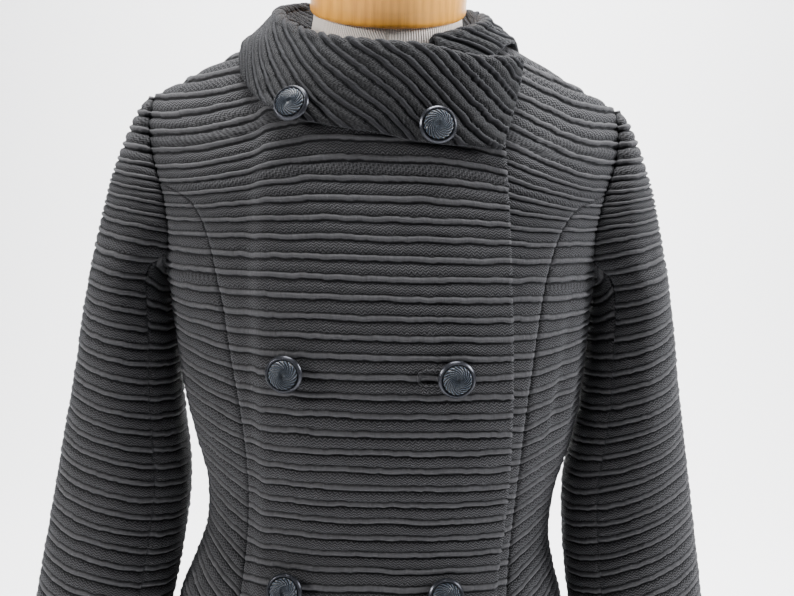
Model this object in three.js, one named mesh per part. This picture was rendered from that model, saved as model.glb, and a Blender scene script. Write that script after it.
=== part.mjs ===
import * as THREE from 'three';

// A fitted double-breasted jacket in ribbed double cloth, worn by a limbless dress form.
// Millimetres, +Z up, the front faces -Y. The wearer's right is -X. Z = 0 is under the base.

// Cloth
const HEM_Z = 385;
const RIB_PITCH = 15;
const HALF_PITCH = RIB_PITCH / 2;
const RIB_RISE = 2;
const WALL = 2.5;
const SEAM_GAP = 0.4;
const SEAM_PRESS = 0.3;
const PLAIN_ROWS = 4;

// Figure: the jacket's skin by height, before the ribs are raised
const SQUARENESS = 2.5;
const LEVELS = [
  { z: 330, half: 186, front: 143, back: 130, sway: 0 },
  { z: 385, half: 186, front: 142, back: 129, sway: 0 },
  { z: 450, half: 184, front: 137, back: 127, sway: 0 },
  { z: 500, half: 178, front: 130, back: 120, sway: 0 },
  { z: 551, half: 168, front: 120, back: 107, sway: 0 },
  { z: 580, half: 158, front: 114, back: 97, sway: 2 },
  { z: 610, half: 151, front: 109, back: 89, sway: 4 },
  { z: 650, half: 153, front: 114, back: 88, sway: 6 },
  { z: 690, half: 163.5, front: 124, back: 94, sway: 6 },
  { z: 720, half: 170, front: 130, back: 100, sway: 5 },
  { z: 765, half: 176, front: 134, back: 107, sway: 3 },
  { z: 811, half: 181, front: 132, back: 111, sway: 1 },
  { z: 830, half: 183.5, front: 130, back: 112, sway: 0 },
  { z: 850, half: 186, front: 127, back: 112, sway: 0 },
  { z: 893, half: 196, front: 119, back: 109, sway: 0 },
  { z: 909, half: 200, front: 115, back: 107, sway: 0 },
  { z: 931, half: 205, front: 109, back: 103, sway: 0 },
  { z: 953, half: 208, front: 102, back: 99, sway: 0 },
  { z: 978, half: 208, front: 94, back: 93, sway: 0 },
  { z: 1000, half: 208, front: 86, back: 86, sway: 0 },
  { z: 1043, half: 208, front: 68, back: 72, sway: 0 },
];
const NECK_POINT = { x: 84, z: 1038.3 };
const SHOULDER_SLOPE = 0.523;
const ROOF_DROP = 130;

// Seams and edges, as distances from the middle by height
const UNDERARM_Z = 830;
const ARMHOLE = [
  { z: 830, x: 183.5 },
  { z: 840, x: 181 },
  { z: 850, x: 178.5 },
  { z: 870, x: 177 },
  { z: 893, x: 181 },
  { z: 909, x: 187 },
  { z: 931, x: 196 },
  { z: 953, x: 200.5 },
  { z: 978, x: 199.3 },
];
const SHOULDER_POINT_Z = 978;
const PRINCESS_TOP_Z = 905.2;
const PRINCESS = [
  { z: 330, x: 122 },
  { z: 450, x: 114 },
  { z: 585, x: 110 },
  { z: 650, x: 110 },
  { z: 710, x: 113 },
  { z: 760, x: 119 },
  { z: 828, x: 130 },
  { z: 870, x: 141 },
  { z: 890, x: 153 },
  { z: 898, x: 165 },
  { z: 905.2, x: 183.6 },
];
const NECKLINE_Z = 948;
const FRONT_NECK = [
  { z: 948, x: -92 },
  { z: 956, x: -60 },
  { z: 962, x: -30 },
  { z: 967, x: 0 },
  { z: 972, x: 22 },
  { z: 979, x: 42 },
  { z: 989, x: 60 },
  { z: 1004, x: 74 },
  { z: 1022, x: 82 },
  { z: 1038.3, x: 84 },
];
const BACK_NECK_Z = 1031;
const FRONT_EDGE = [
  { z: 330, x: -96 },
  { z: 590, x: -97 },
  { z: 800, x: -100 },
  { z: 870, x: -98 },
  { z: 948, x: -92 },
];
const LAYER_LIFT = 7.6;
const UNDER_FRONT_SHORT = 14;
const SHORT_FADE_Z = 985;
const TOP_TRIM = 1.5;
const BACK_PLAIN_Z = 985;
const BACK_CLOSE_Z = 965;
const LAYER_TURN = { from: 107, to: 90 };
const LAYER_FADE = { from: 966, to: 986 };
const TOP_FRONT_STOPS = [-50, 5, 62];
const UNDER_FRONT_STOPS = [-21, 62];
const STOP_SPREAD = [0.06, 0.15, 0.3];
const OUTER_FRONT_COLUMNS = 3;
const NECK_ROWS_Z = 940;
const COVERED_X = 70;
const FRONT_REACH = 130;
const SEAM_LEAST = 60;
const SEAM_MOST = 230;
const HALVINGS = 44;
const SIDE_COLUMNS = 3;
const BACK_COLUMNS = 8;
const TOP_SLEEVE_COLUMNS = 7;
const UNDER_SLEEVE_COLUMNS = 4;

// How far the ribs fall towards the shoulder and climb towards the side seam
const RIB_FALL = { most: 26, from: 850, to: 960, inner: 30, outer: 180 };
const RIB_CLIMB = [
  { z: 330, slope: 0.65 },
  { z: 560, slope: 0.65 },
  { z: 600, slope: 0.6 },
  { z: 650, slope: 0.5 },
  { z: 700, slope: 0.36 },
  { z: 740, slope: 0.25 },
  { z: 775, slope: 0.15 },
  { z: 820, slope: 0 },
  { z: 1100, slope: 0 },
];

// Sleeve: outline seen from the front and depth front to back. near is how much closer to the body
// the right sleeve's inner line lies
const SLEEVE_TILT = 0.158;
const CUFF_Z = 385;
const SLEEVE_OUTER = [
  { z: 330, x: 324 },
  { z: 385, x: 317 },
  { z: 500, x: 304 },
  { z: 557, x: 295 },
  { z: 592, x: 289.5 },
  { z: 651, x: 280 },
  { z: 710, x: 270 },
  { z: 745, x: 264 },
  { z: 788, x: 258 },
  { z: 838, x: 249 },
  { z: 876, x: 241 },
  { z: 905, x: 234 },
  { z: 930, x: 226 },
  { z: 957, x: 215 },
  { z: 970, x: 208.5 },
  { z: 980, x: 203 },
];
const SLEEVE_RINGS = [
  { z: 330, inner: 218, near: 0, depth: 50, middle: -26, lean: 0.5 },
  { z: 385, inner: 209, near: 0, depth: 51, middle: -23, lean: 0.5 },
  { z: 500, inner: 188, near: 0, depth: 54, middle: -12, lean: 0.5 },
  { z: 555, inner: 178, near: 1, depth: 57, middle: -8, lean: 0.5 },
  { z: 608, inner: 172, near: 3, depth: 60, middle: -5, lean: 0.5 },
  { z: 640, inner: 171, near: 4, depth: 62, middle: -4, lean: 0.5 },
  { z: 656, inner: 172, near: 4.5, depth: 63, middle: -3, lean: 0.5 },
  { z: 690, inner: 178, near: 6, depth: 65, middle: -2, lean: 0.5 },
  { z: 720, inner: 183, near: 7, depth: 67, middle: -1, lean: 0.5 },
  { z: 765, inner: 186, near: 6.5, depth: 68, middle: 0, lean: 0.5 },
  { z: 811, inner: 188, near: 2.5, depth: 68, middle: 0, lean: 0.5 },
  { z: 830, inner: 185.5, near: 0, depth: 68, middle: 0, lean: 0.5 },
  { z: 850, inner: 179, near: 0, depth: 67.5, middle: 0, lean: 0.45 },
  { z: 870, inner: 178, near: 0, depth: 66, middle: 0, lean: 0.42 },
  { z: 893, inner: 182, near: 0, depth: 61, middle: 0, lean: 0.38 },
  { z: 909, inner: 188, near: 0, depth: 56, middle: 0, lean: 0.36 },
  { z: 931, inner: 197, near: 0, depth: 44, middle: 0, lean: 0.34 },
  { z: 953, inner: 201, near: 0, depth: 30, middle: 0, lean: 0.32 },
  { z: 970, inner: 200.6, near: 0, depth: 17, middle: 0, lean: 0.3 },
  { z: 978, inner: 200, near: 0, depth: 7, middle: 0, lean: 0.3 },
];
const SLEEVE_SEAM = [
  { z: 330, turn: 128 },
  { z: 700, turn: 128 },
  { z: 800, turn: 131 },
  { z: 870, turn: 136 },
  { z: 980, turn: 152 },
];
const SLEEVE_TOP_Z = 977;
const HORN_FROM_Z = 755;
const HORN_TOP_Z = 900;
const UNDERARM_SPARE = 1.6;
const SLEEVE_RADIUS = 60;
const TURN_STEP = 0.02;

// Collar: the roll line and the free edge of the fall, from the overlapping end round the neck
const ROLL_RADIUS = 5;
const COLLAR = [
  { x: 108, y: -55, z: 1016, ex: 91, ey: -117, ez: 941, sx: 90, sz: 949, side: -1 },
  { x: 90, y: -78, z: 1013, ex: 73, ey: -119, ez: 942, sx: 72, sz: 953, side: -1 },
  { x: 63, y: -95, z: 1013, ex: 48, ey: -121, ez: 943, sx: 47, sz: 959, side: -1 },
  { x: 30, y: -104, z: 1019, ex: 22, ey: -122, ez: 945, sx: 20, sz: 964, side: -1 },
  { x: -5, y: -103, z: 1021, ex: -5, ey: -122, ez: 950, sx: -8, sz: 969, side: -1 },
  { x: -40, y: -91, z: 1024, ex: -49, ey: -116, ez: 956, sx: -38, sz: 977.5, side: -1 },
  { x: -68, y: -66, z: 1032, ex: -84, ey: -102, ez: 964, sx: -66, sz: 996, side: -1 },
  { x: -88, y: -34, z: 1044, ex: -108, ey: -73, ez: 978, sx: -81, sz: 1020, side: -1 },
  { x: -94, y: 4, z: 1055, ex: -123, ey: -44, ez: 999, sx: -84, sz: 1038, side: 1 },
  { x: -91, y: 24, z: 1060, ex: -127, ey: 2, ez: 1026, sx: -80, sz: 1038, side: 1 },
  { x: -82, y: 42, z: 1064, ex: -118, ey: 48, ez: 1001, sx: -70, sz: 1036.5, side: 1 },
  { x: -48, y: 68, z: 1070, ex: -72, ey: 92, ez: 992, sx: -38, sz: 1033, side: 1 },
  { x: -1, y: 77, z: 1071, ex: 0, ey: 103, ez: 989, sx: 0, sz: 1031, side: 1 },
  { x: 44, y: 68, z: 1070, ex: 70, ey: 92, ez: 993, sx: 38, sz: 1033, side: 1 },
  { x: 72, y: 42, z: 1064, ex: 116, ey: 48, ez: 1004, sx: 70, sz: 1036.5, side: 1 },
  { x: 84, y: 4, z: 1055, ex: 113, ey: 8, ez: 1031, sx: 84, sz: 1038, side: -1 },
  { x: 80, y: -32, z: 1046, ex: 98, ey: -34, ez: 1026, sx: 81, sz: 1020, side: -1 },
  { x: 64, y: -58, z: 1038, ex: 80, ey: -62, ez: 1012, sx: 68, sz: 999, side: -1 },
  { x: 36, y: -77, z: 1028, ex: 44, ey: -84, ez: 1004, sx: 44, sz: 980.5, side: -1 },
];
const FOOT_INSET = 6;
const FOOT_RISE = 4;
const COLLAR_COLUMNS = 66;
const STAND_ROWS = 1;
const ROLL_STEPS = 3;
const FALL_ROWS = 4;
const COLLAR_PLAIN_ROWS = 2;
const COLLAR_SLANT = 0.09;
const SLANT_EASE = 0.18;
const COLLAR_CLEAR = 8.7;
const FALL_CROWN = 2;

// Buttons, on the fronts and the collar, by row
const BUTTON_RADIUS = 15;
const BUTTON_SIDES = 10;
const SHANK_RADIUS = 3.2;
const SEAT_RAYS = 12;
const BUTTON_PROFILE = [
  { r: 0, h: 0 },
  { r: SHANK_RADIUS, h: 0 },
  { r: SHANK_RADIUS, h: 3 },
  { r: 13, h: 3.6 },
  { r: BUTTON_RADIUS, h: 6 },
  { r: 13, h: 8.4 },
  { r: 8, h: 9.6 },
  { r: 0, h: 10.6 },
];
const FRONT_BUTTONS = [
  { name: 'button_3', x: -70, z: 764 },
  { name: 'button_4', x: 58, z: 764 },
  { name: 'button_5', x: -68, z: 579 },
  { name: 'button_6', x: 57, z: 579 },
];
const COLLAR_BUTTONS = [
  { name: 'button_1', x: -72, z: 968 },
  { name: 'button_2', x: 39, z: 956 },
];
const BUTTONHOLE = { x: 47, z: 764, half: 16, height: 4.5, band: 2.2, thick: 1.2, steps: 24 };

// Dress form and stand
const FORM_INSET = 9.5;
const FORM_SHOULDER_DROP = 4.6;
const FORM_HALF_MOST = 176;
const FORM_SIDES = 22;
const FORM_ROWS = [340, 352, 430, 510, 580, 640, 710, 765, 830, 900, 945, 975, 995, 1010];
const NECK_RINGS = [
  { z: 1019, x: 84, y: 54, shift: -5, tilt: 0.1 },
  { z: 1027, x: 69, y: 53, shift: -8, tilt: 0.2 },
  { z: 1036, x: 65, y: 53, shift: -11, tilt: 0.3 },
  { z: 1053, x: 63, y: 57, shift: -10, tilt: 0.32 },
];
const CAP = { radius: 67, height: 38, edge: 7, dome: 4, sides: 22 };
const STEM = { radius: 17, flange: 60, flangeHeight: 12, sides: 16 };
const BASE = { radius: 165, height: 24, edge: 8, hub: 34, hubHeight: 22, sides: 20 };
const REST_GAP = 0.3;

const clamp = (value, low, high) => Math.min(high, Math.max(low, value));

function smooth(value, from, to) {
  const share = clamp((value - from) / (to - from), 0, 1);
  return share * share * (3 - 2 * share);
}

// A smooth curve through the rows of a table, read at a height
function track(table, key, z, by = 'z') {
  const last = table.length - 1;
  if (z <= table[0][by]) return table[0][key];
  if (z >= table[last][by]) return table[last][key];
  let i = 0;
  while (table[i + 1][by] < z) i += 1;
  const slope = (n) => {
    const low = Math.max(n - 1, 0);
    const high = Math.min(n + 1, last);
    return (table[high][key] - table[low][key]) / (table[high][by] - table[low][by]);
  };
  const span = table[i + 1][by] - table[i][by];
  const t = (z - table[i][by]) / span;
  const a = table[i][key];
  const b = table[i + 1][key];
  const bend = t * t * (3 - 2 * t);
  return a + (b - a) * bend + span * (t * (1 - t) * (1 - t) * slope(i) - t * t * (1 - t) * slope(i + 1));
}

// Straight lines between the rows of a table, read at a height
function line(table, key, z) {
  const last = table.length - 1;
  if (z <= table[0].z) return table[0][key];
  if (z >= table[last].z) return table[last][key];
  let i = 0;
  while (table[i + 1].z < z) i += 1;
  const t = (z - table[i].z) / (table[i + 1].z - table[i].z);
  return table[i][key] + (table[i + 1][key] - table[i][key]) * t;
}

const ridge = (x) => NECK_POINT.z - SHOULDER_SLOPE * (Math.abs(x) - NECK_POINT.x);

// Share of the full depth that is left under the shoulder's roof
function roofShare(x, z) {
  const t = clamp((ridge(x) - z) / ROOF_DROP, 0, 1);
  return Math.sqrt(1 - (1 - t) * (1 - t));
}

// Depth of the skin at a distance x from the middle, side -1 in front and 1 behind
function skinDepth(x, z, side) {
  const half = track(LEVELS, 'half', z);
  const depth = track(LEVELS, side < 0 ? 'front' : 'back', z);
  const share = Math.max(0, 1 - (Math.abs(x) / half) ** SQUARENESS);
  return side * depth * share ** (1 / SQUARENESS) * roofShare(x, z);
}

// Outward direction of the skin, from the slope of its own equation
function skinNormal(x, z, side) {
  const y = skinDepth(x, z, side);
  const level = (px, py, pz) => {
    const half = track(LEVELS, 'half', pz);
    const depth = track(LEVELS, side < 0 ? 'front' : 'back', pz);
    const deep = Math.max(depth * roofShare(px, pz), 1);
    return (Math.abs(px) / half) ** SQUARENESS + (Math.abs(py) / deep) ** SQUARENESS;
  };
  const e = 0.1;
  const low = Math.min(z, ridge(x) - 1.5 * e);
  const normal = new THREE.Vector3(
    level(x + e, y, low) - level(x - e, y, low),
    level(x, y + e, low) - level(x, y - e, low),
    level(x, y, low + e) - level(x, y, low - e),
  );
  if (ridge(x) - z < 0.5) normal.set(SHOULDER_SLOPE * Math.sign(x), 0, 1);
  return normal.normalize();
}

// Height of a rib row at a distance x from the middle
function ribHeight(level, x) {
  const reach = Math.abs(x);
  const fall = RIB_FALL.most * smooth(level, RIB_FALL.from, RIB_FALL.to);
  const beyond = Math.max(0, reach - track(PRINCESS, 'x', Math.min(level, 900)));
  const climb = track(RIB_CLIMB, 'slope', level) * beyond;
  return level - fall * smooth(reach, RIB_FALL.inner, RIB_FALL.outer) + climb;
}

// Where a row meets an edge that is given as a distance by height
function meet(level, edge, low, high) {
  const off = (x) => x - edge(ribHeight(level, x));
  let a = low;
  let b = high;
  for (let i = 0; i < HALVINGS; i += 1) {
    const middle = (a + b) / 2;
    if (off(middle) > 0) b = middle;
    else a = middle;
  }
  return (a + b) / 2;
}

// Outer end of a row: side seam, armhole, or shoulder seam
function outerEdge(z) {
  if (z < UNDERARM_Z) return track(LEVELS, 'half', z);
  if (z <= SHOULDER_POINT_Z) return line(ARMHOLE, 'x', z);
  return NECK_POINT.x + (NECK_POINT.z - z) / SHOULDER_SLOPE;
}

const princessEdge = (z) => (z < PRINCESS_TOP_Z ? track(PRINCESS, 'x', z) : outerEdge(z));

function frontInner(z) {
  return z < NECKLINE_Z ? track(FRONT_EDGE, 'x', z) : line(FRONT_NECK, 'x', z);
}

const turnOf = (x, half) => Math.asin(clamp(Math.abs(x) / half, 0, 1) ** (SQUARENESS / 2)) * Math.sign(x);
const reachOf = (turn, half) => half * Math.abs(Math.sin(turn)) ** (2 / SQUARENESS) * Math.sign(turn);

// One row of skin points between two distances from the middle
function rowPoints(level, from, to, columns, side, height = ribHeight, stops = []) {
  const points = [];
  const halfAt = (x) => track(LEVELS, 'half', height(level, x));
  const stopAt = (n) => Math.max(stops[n], from + (to - from) * STOP_SPREAD[n]);
  const fixed = stops.length;
  const spreadFrom = fixed ? stopAt(fixed - 1) : from;
  const start = turnOf(spreadFrom, halfAt(spreadFrom));
  const end = turnOf(to, halfAt(to));
  for (let j = 0; j <= columns; j += 1) {
    const share = (j - fixed) / (columns - fixed);
    let x = j === columns ? to : from;
    if (j > 0 && j <= fixed) x = stopAt(j - 1);
    if (j > fixed && j < columns) {
      x = spreadFrom + (to - spreadFrom) * share;
      for (let n = 0; n < 6; n += 1) x = reachOf(start + (end - start) * share, halfAt(x));
    }
    const z = Math.max(HEM_Z, height(level, x));
    points.push({ x, z, y: skinDepth(x, z, side), normal: skinNormal(x, z, side) });
  }
  return points;
}

// A closed wall: a fine outer grid, a sparse inner grid, and the four edges between them
function wallGeometry(outer, inner, kept) {
  const rows = outer.length;
  const columns = outer[0].length;
  const points = [];
  const faces = [];
  const out = outer.map((row) => row.map((p) => points.push(p) - 1));
  const back = new Map(kept.map((i) => [i, inner[i].map((p) => points.push(p) - 1)]));
  const quad = (a, b, c, d) => faces.push(a, b, c, a, c, d);
  for (let i = 0; i + 1 < rows; i += 1) {
    for (let j = 0; j + 1 < columns; j += 1) {
      quad(out[i][j], out[i][j + 1], out[i + 1][j + 1], out[i + 1][j]);
    }
  }
  for (let n = 0; n + 1 < kept.length; n += 1) {
    const low = back.get(kept[n]);
    const high = back.get(kept[n + 1]);
    for (let j = 0; j + 1 < columns; j += 1) quad(low[j], high[j], high[j + 1], low[j + 1]);
    const half = Math.ceil((kept[n] + kept[n + 1]) / 2);
    for (const [j, flip] of [[0, false], [columns - 1, true]]) {
      const push = (a, b, c) => (flip ? faces.push(a, c, b) : faces.push(a, b, c));
      for (let i = kept[n]; i < kept[n + 1]; i += 1) {
        push(out[i][j], out[i + 1][j], i < half ? low[j] : high[j]);
      }
      push(low[j], out[half][j], high[j]);
    }
  }
  const first = back.get(kept[0]);
  const final = back.get(kept[kept.length - 1]);
  for (let j = 0; j + 1 < columns; j += 1) {
    quad(out[0][j + 1], out[0][j], first[j], first[j + 1]);
    quad(out[rows - 1][j], out[rows - 1][j + 1], final[j + 1], final[j]);
  }
  return closedGeometry(points, faces);
}

// A geometry from points and faces, turned so that its faces point out
function closedGeometry(points, faces) {
  let volume = 0;
  for (let i = 0; i < faces.length; i += 3) {
    const [a, b, c] = [points[faces[i]], points[faces[i + 1]], points[faces[i + 2]]];
    volume += a.clone().cross(b).dot(c) / 6;
  }
  if (volume < 0) {
    for (let i = 0; i < faces.length; i += 3) [faces[i], faces[i + 1]] = [faces[i + 1], faces[i]];
  }
  const geometry = new THREE.BufferGeometry();
  geometry.setAttribute('position', new THREE.Float32BufferAttribute(points.flatMap((p) => p.toArray()), 3));
  geometry.setIndex(faces);
  geometry.computeVertexNormals();
  return geometry;
}

// Rows that the plain inside keeps
function keptRows(levels, closeFrom = Infinity) {
  const kept = [];
  levels.forEach((level, i) => {
    const edge = i === 0 || i === levels.length - 1;
    if (edge || level.z > closeFrom || level.index % PLAIN_ROWS === 0) kept.push(i);
  });
  return kept;
}

const flat = () => 0;

function material(color, roughness, metalness) {
  return new THREE.MeshStandardMaterial({ color, roughness, metalness });
}

const cloth = () => material(0x25262b, 0.85, 0);

function mesh(name, geometry, finish) {
  const piece = new THREE.Mesh(geometry, finish);
  piece.name = name;
  return piece;
}

function ribShare(index, column, columns, ends) {
  const crest = Math.abs(index) % 2 === 1 ? 1 : 0;
  if (column === 0) return crest * ends[0];
  if (column === columns) return crest * ends[1];
  return crest;
}

// The front and the back meet on the shoulder line, a seam's gap apart
function closeShoulder(point, side) {
  if (point.z > SHOULDER_POINT_Z) point.y = (side * SEAM_GAP) / 2;
}

// One cut panel of the body. hand is -1 for the wearer's right and 1 for the left
function bodyPanel(cut) {
  const { name, hand, side, levels, columns, range, lift, ends, stops, closeFrom, covered = flat } = cut;
  const outer = [];
  const inner = [];
  for (const level of levels) {
    const [from, to] = range(level.z);
    const row = rowPoints(level.z, from, to, columns, side, ribHeight, stops);
    closeShoulder(row[columns], side);
    const atArmhole = row[columns].z >= UNDERARM_Z - HALF_PITCH;
    const pressed = [ends[0], atArmhole ? 0 : ends[1]];
    const place = (p, out) => {
      const moved = out + lift(p.x, p.z);
      const sway = track(LEVELS, 'sway', p.z);
      return new THREE.Vector3(
        hand * (p.x + p.normal.x * moved) + sway,
        p.y + p.normal.y * moved,
        Math.max(HEM_Z, p.z + p.normal.z * moved),
      );
    };
    const rise = (p, j) => RIB_RISE * ribShare(level.index, j, columns, pressed) * (1 - covered(p.x));
    outer.push(row.map((p, j) => place(p, rise(p, j))));
    inner.push(row.map((p) => place(p, -WALL)));
  }
  return mesh(name, wallGeometry(outer, inner, keptRows(levels, closeFrom)), cloth());
}

// Rib rows from the hem up, two to a rib, with a last row where the piece ends
function rowLevels(lowest, highest) {
  const levels = [];
  for (let index = lowest; HEM_Z + index * HALF_PITCH < highest - 2; index += 1) {
    levels.push({ index, z: HEM_Z + index * HALF_PITCH });
  }
  levels.push({ index: 0, z: highest });
  return levels;
}

// Levels of the rows that end at the top of the princess seam and at the neck point
const SIDE_TOP_ROW = 72;
const SIDE_TOP_LEVEL = HEM_Z + SIDE_TOP_ROW * HALF_PITCH;
const NECK_FALL = RIB_FALL.most * smooth(NECK_POINT.x, RIB_FALL.inner, RIB_FALL.outer);
const TOP_LEVEL = NECK_POINT.z - TOP_TRIM + NECK_FALL;

// The overlapping front stands off from the one underneath
function overlapLift(x, z) {
  const turned = smooth(-x, -LAYER_TURN.from, -LAYER_TURN.to);
  return LAYER_LIFT * turned * (1 - smooth(z, LAYER_FADE.from, LAYER_FADE.to));
}

function front({ name, hand, reach, stops, lift, covered }) {
  const edge = (z) => frontInner(z) + reach * (1 - smooth(z, NECKLINE_Z, SHORT_FADE_Z));
  return bodyPanel({
    name,
    hand,
    side: -1,
    levels: rowLevels(0, TOP_LEVEL),
    columns: stops.length + OUTER_FRONT_COLUMNS,
    stops,
    closeFrom: NECK_ROWS_Z,
    covered,
    range: (level) => [
      meet(level, edge, -FRONT_REACH, FRONT_REACH),
      meet(level, princessEdge, SEAM_LEAST, SEAM_MOST) - SEAM_GAP / 2,
    ],
    lift,
    ends: [1, SEAM_PRESS],
  });
}

// Lowest rows of a side panel start where they climb out of the hem
function hemStart(level, start, end) {
  if (ribHeight(level, start) >= HEM_Z) return start;
  let a = start;
  let b = end;
  for (let i = 0; i < HALVINGS; i += 1) {
    const middle = (a + b) / 2;
    if (ribHeight(level, middle) > HEM_Z) b = middle;
    else a = middle;
  }
  return b;
}

function sidePanel(name, hand, side) {
  const deepest = Math.ceil((ribHeight(HEM_Z, track(LEVELS, 'half', HEM_Z)) - HEM_Z) / HALF_PITCH);
  return bodyPanel({
    name,
    hand,
    side,
    levels: rowLevels(1 - deepest, SIDE_TOP_LEVEL),
    columns: SIDE_COLUMNS,
    range: (level) => {
      const gap = SEAM_GAP * (0.5 + 0.6 * smooth(level, SIDE_TOP_LEVEL - 4 * HALF_PITCH, SIDE_TOP_LEVEL));
      const start = meet(level, princessEdge, SEAM_LEAST, SEAM_MOST) + gap;
      const end = meet(level, outerEdge, SEAM_LEAST, SEAM_MOST) - SEAM_GAP / 2;
      return [hemStart(level, start, end), end];
    },
    lift: flat,
    ends: [SEAM_PRESS, SEAM_PRESS],
  });
}

// Rows near the top of the back close up under the neckline
function backHeight(level, x) {
  const plain = ribHeight(level, x);
  if (level <= BACK_PLAIN_Z) return plain;
  const low = ribHeight(BACK_PLAIN_Z, x);
  const top = ribHeight(TOP_LEVEL, x);
  const neck = BACK_NECK_Z + (NECK_POINT.z - TOP_TRIM - BACK_NECK_Z) * smooth(Math.abs(x), 0, NECK_POINT.x);
  return low + (plain - low) * Math.min(1, (neck - low) / (top - low));
}

// The back, cut on the fold
function backPanel() {
  const levels = rowLevels(0, TOP_LEVEL);
  const outer = [];
  const inner = [];
  for (const level of levels) {
    const reach = meet(level.z, princessEdge, SEAM_LEAST, SEAM_MOST) - SEAM_GAP / 2;
    const row = rowPoints(level.z, -reach, reach, BACK_COLUMNS, 1, backHeight);
    closeShoulder(row[0], 1);
    closeShoulder(row[BACK_COLUMNS], 1);
    const press = row[0].z >= UNDERARM_Z ? 0 : SEAM_PRESS;
    const place = (p, out) => new THREE.Vector3(
      p.x + p.normal.x * out + track(LEVELS, 'sway', p.z),
      Math.max(SEAM_GAP / 2, p.y + p.normal.y * out),
      Math.max(HEM_Z, p.z + p.normal.z * out),
    );
    const rise = (j) => RIB_RISE * ribShare(level.index, j, BACK_COLUMNS, [press, press]);
    outer.push(row.map((p, j) => place(p, rise(j))));
    inner.push(row.map((p) => place(p, -WALL)));
  }
  return mesh('back', wallGeometry(outer, inner, keptRows(levels, BACK_CLOSE_Z)), cloth());
}

// Edge of the armhole on the sleeve's side of the seam
function armholeEnd(zIn, side) {
  const spare = SEAM_GAP + UNDERARM_SPARE * (1 - smooth(zIn, UNDERARM_Z, UNDERARM_Z + RIB_PITCH));
  const x = line(ARMHOLE, 'x', zIn) + spare;
  return { x, y: skinDepth(Math.min(x, track(LEVELS, 'half', zIn)), zIn, side) };
}

// Angle from the sleeve's outer line to where its ring opens at the armhole
function openTurn(zIn, side) {
  if (zIn <= UNDERARM_Z) return Math.PI;
  const { y } = armholeEnd(zIn, side);
  return Math.PI - Math.asin(Math.min(1, Math.abs(y) / track(SLEEVE_RINGS, 'depth', zIn)));
}

const seamTurn = (zIn) => THREE.MathUtils.degToRad(track(SLEEVE_SEAM, 'turn', zIn));

// A point of the sleeve's skin. turn is 0 on the outer line and grows towards the front
function sleevePoint(zIn, turn, hand) {
  const side = Math.sin(turn) > 0 ? -1 : 1;
  const depth = track(SLEEVE_RINGS, 'depth', zIn);
  const closer = hand < 0 ? track(SLEEVE_RINGS, 'near', zIn) : 0;
  const ring = track(SLEEVE_RINGS, 'inner', zIn) - closer;
  const end = zIn > UNDERARM_Z ? armholeEnd(zIn, side) : { x: ring, y: 0 };
  const wide = track(SLEEVE_OUTER, 'x', zIn) - end.x;
  const outer = track(SLEEVE_OUTER, 'x', zIn + SLEEVE_TILT * wide);
  const centre = end.x + (outer - end.x) * track(SLEEVE_RINGS, 'lean', zIn);
  const open = Math.min(Math.abs(end.y) / depth, 0.98);
  const near = (centre - end.x) / Math.sqrt(1 - open * open);
  const x = centre + (Math.cos(turn) > 0 ? outer - centre : near) * Math.cos(turn);
  const y = track(SLEEVE_RINGS, 'middle', zIn) - depth * Math.sin(turn);
  return new THREE.Vector3(x, y, zIn + SLEEVE_TILT * (x - end.x));
}

function sleeveNormal(zIn, turn, hand) {
  const low = Math.max(CUFF_Z, zIn - 1);
  const high = Math.min(SLEEVE_TOP_Z, zIn + 1);
  const along = sleevePoint(high, turn, hand).sub(sleevePoint(low, turn, hand));
  const round = sleevePoint(zIn, turn + TURN_STEP, hand).sub(sleevePoint(zIn, turn - TURN_STEP, hand));
  return along.cross(round).normalize();
}

// Sleeve rows meet the body's rib rows at the armhole
function sleeveLevels(highest) {
  const levels = [];
  for (let index = 0; ; index += 1) {
    const level = HEM_Z + index * HALF_PITCH;
    const z = level - RIB_FALL.most * smooth(level, RIB_FALL.from, RIB_FALL.to);
    if (z > highest - 2) break;
    levels.push({ index, z });
  }
  levels.push({ index: 0, z: highest });
  return levels;
}

function sleevePiece(name, hand, levels, columns, spot, press) {
  const outer = [];
  const inner = [];
  for (const level of levels) {
    const row = [];
    for (let j = 0; j <= columns; j += 1) row.push(spot(level.z, j / columns));
    const place = ([zIn, turn], out) => {
      const p = sleevePoint(zIn, turn, hand).addScaledVector(sleeveNormal(zIn, turn, hand), out);
      return new THREE.Vector3(hand * p.x, p.y, p.z);
    };
    const ends = press(level.z);
    const pressed = [ends.edge, ends.edge];
    const rise = (j) => ends.all * RIB_RISE * ribShare(level.index, j, columns, pressed);
    outer.push(row.map((s, j) => place(s, rise(j))));
    inner.push(row.map((s) => place(s, -WALL)));
  }
  return mesh(name, wallGeometry(outer, inner, keptRows(levels)), cloth());
}

// Half the gap at a sleeve seam as an angle, wider where the seam runs into the armhole
const seamSlack = (zIn) => (SEAM_GAP * (0.5 + 2 * smooth(zIn, HORN_FROM_Z, UNDERARM_Z))) / SLEEVE_RADIUS;

function topSleeve(name, hand) {
  const reach = (zIn, side) => Math.min(openTurn(zIn, side), seamTurn(zIn) - seamSlack(zIn));
  const spot = (zIn, share) => {
    const from = -reach(zIn, 1);
    const to = reach(zIn, -1);
    return [zIn, from + (to - from) * share];
  };
  const press = (zIn) => ({ all: 1, edge: zIn > UNDERARM_Z ? 0 : SEAM_PRESS });
  return sleevePiece(name, hand, sleeveLevels(SLEEVE_TOP_Z), TOP_SLEEVE_COLUMNS, spot, press);
}

// Height at which the armhole's edge stands at an angle of the sleeve's ring
function hornHeight(turn, side) {
  let low = UNDERARM_Z;
  let high = HORN_TOP_Z;
  for (let i = 0; i < HALVINGS; i += 1) {
    const middle = (low + high) / 2;
    if (openTurn(middle, side) > turn) low = middle;
    else high = middle;
  }
  return (low + high) / 2;
}

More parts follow.
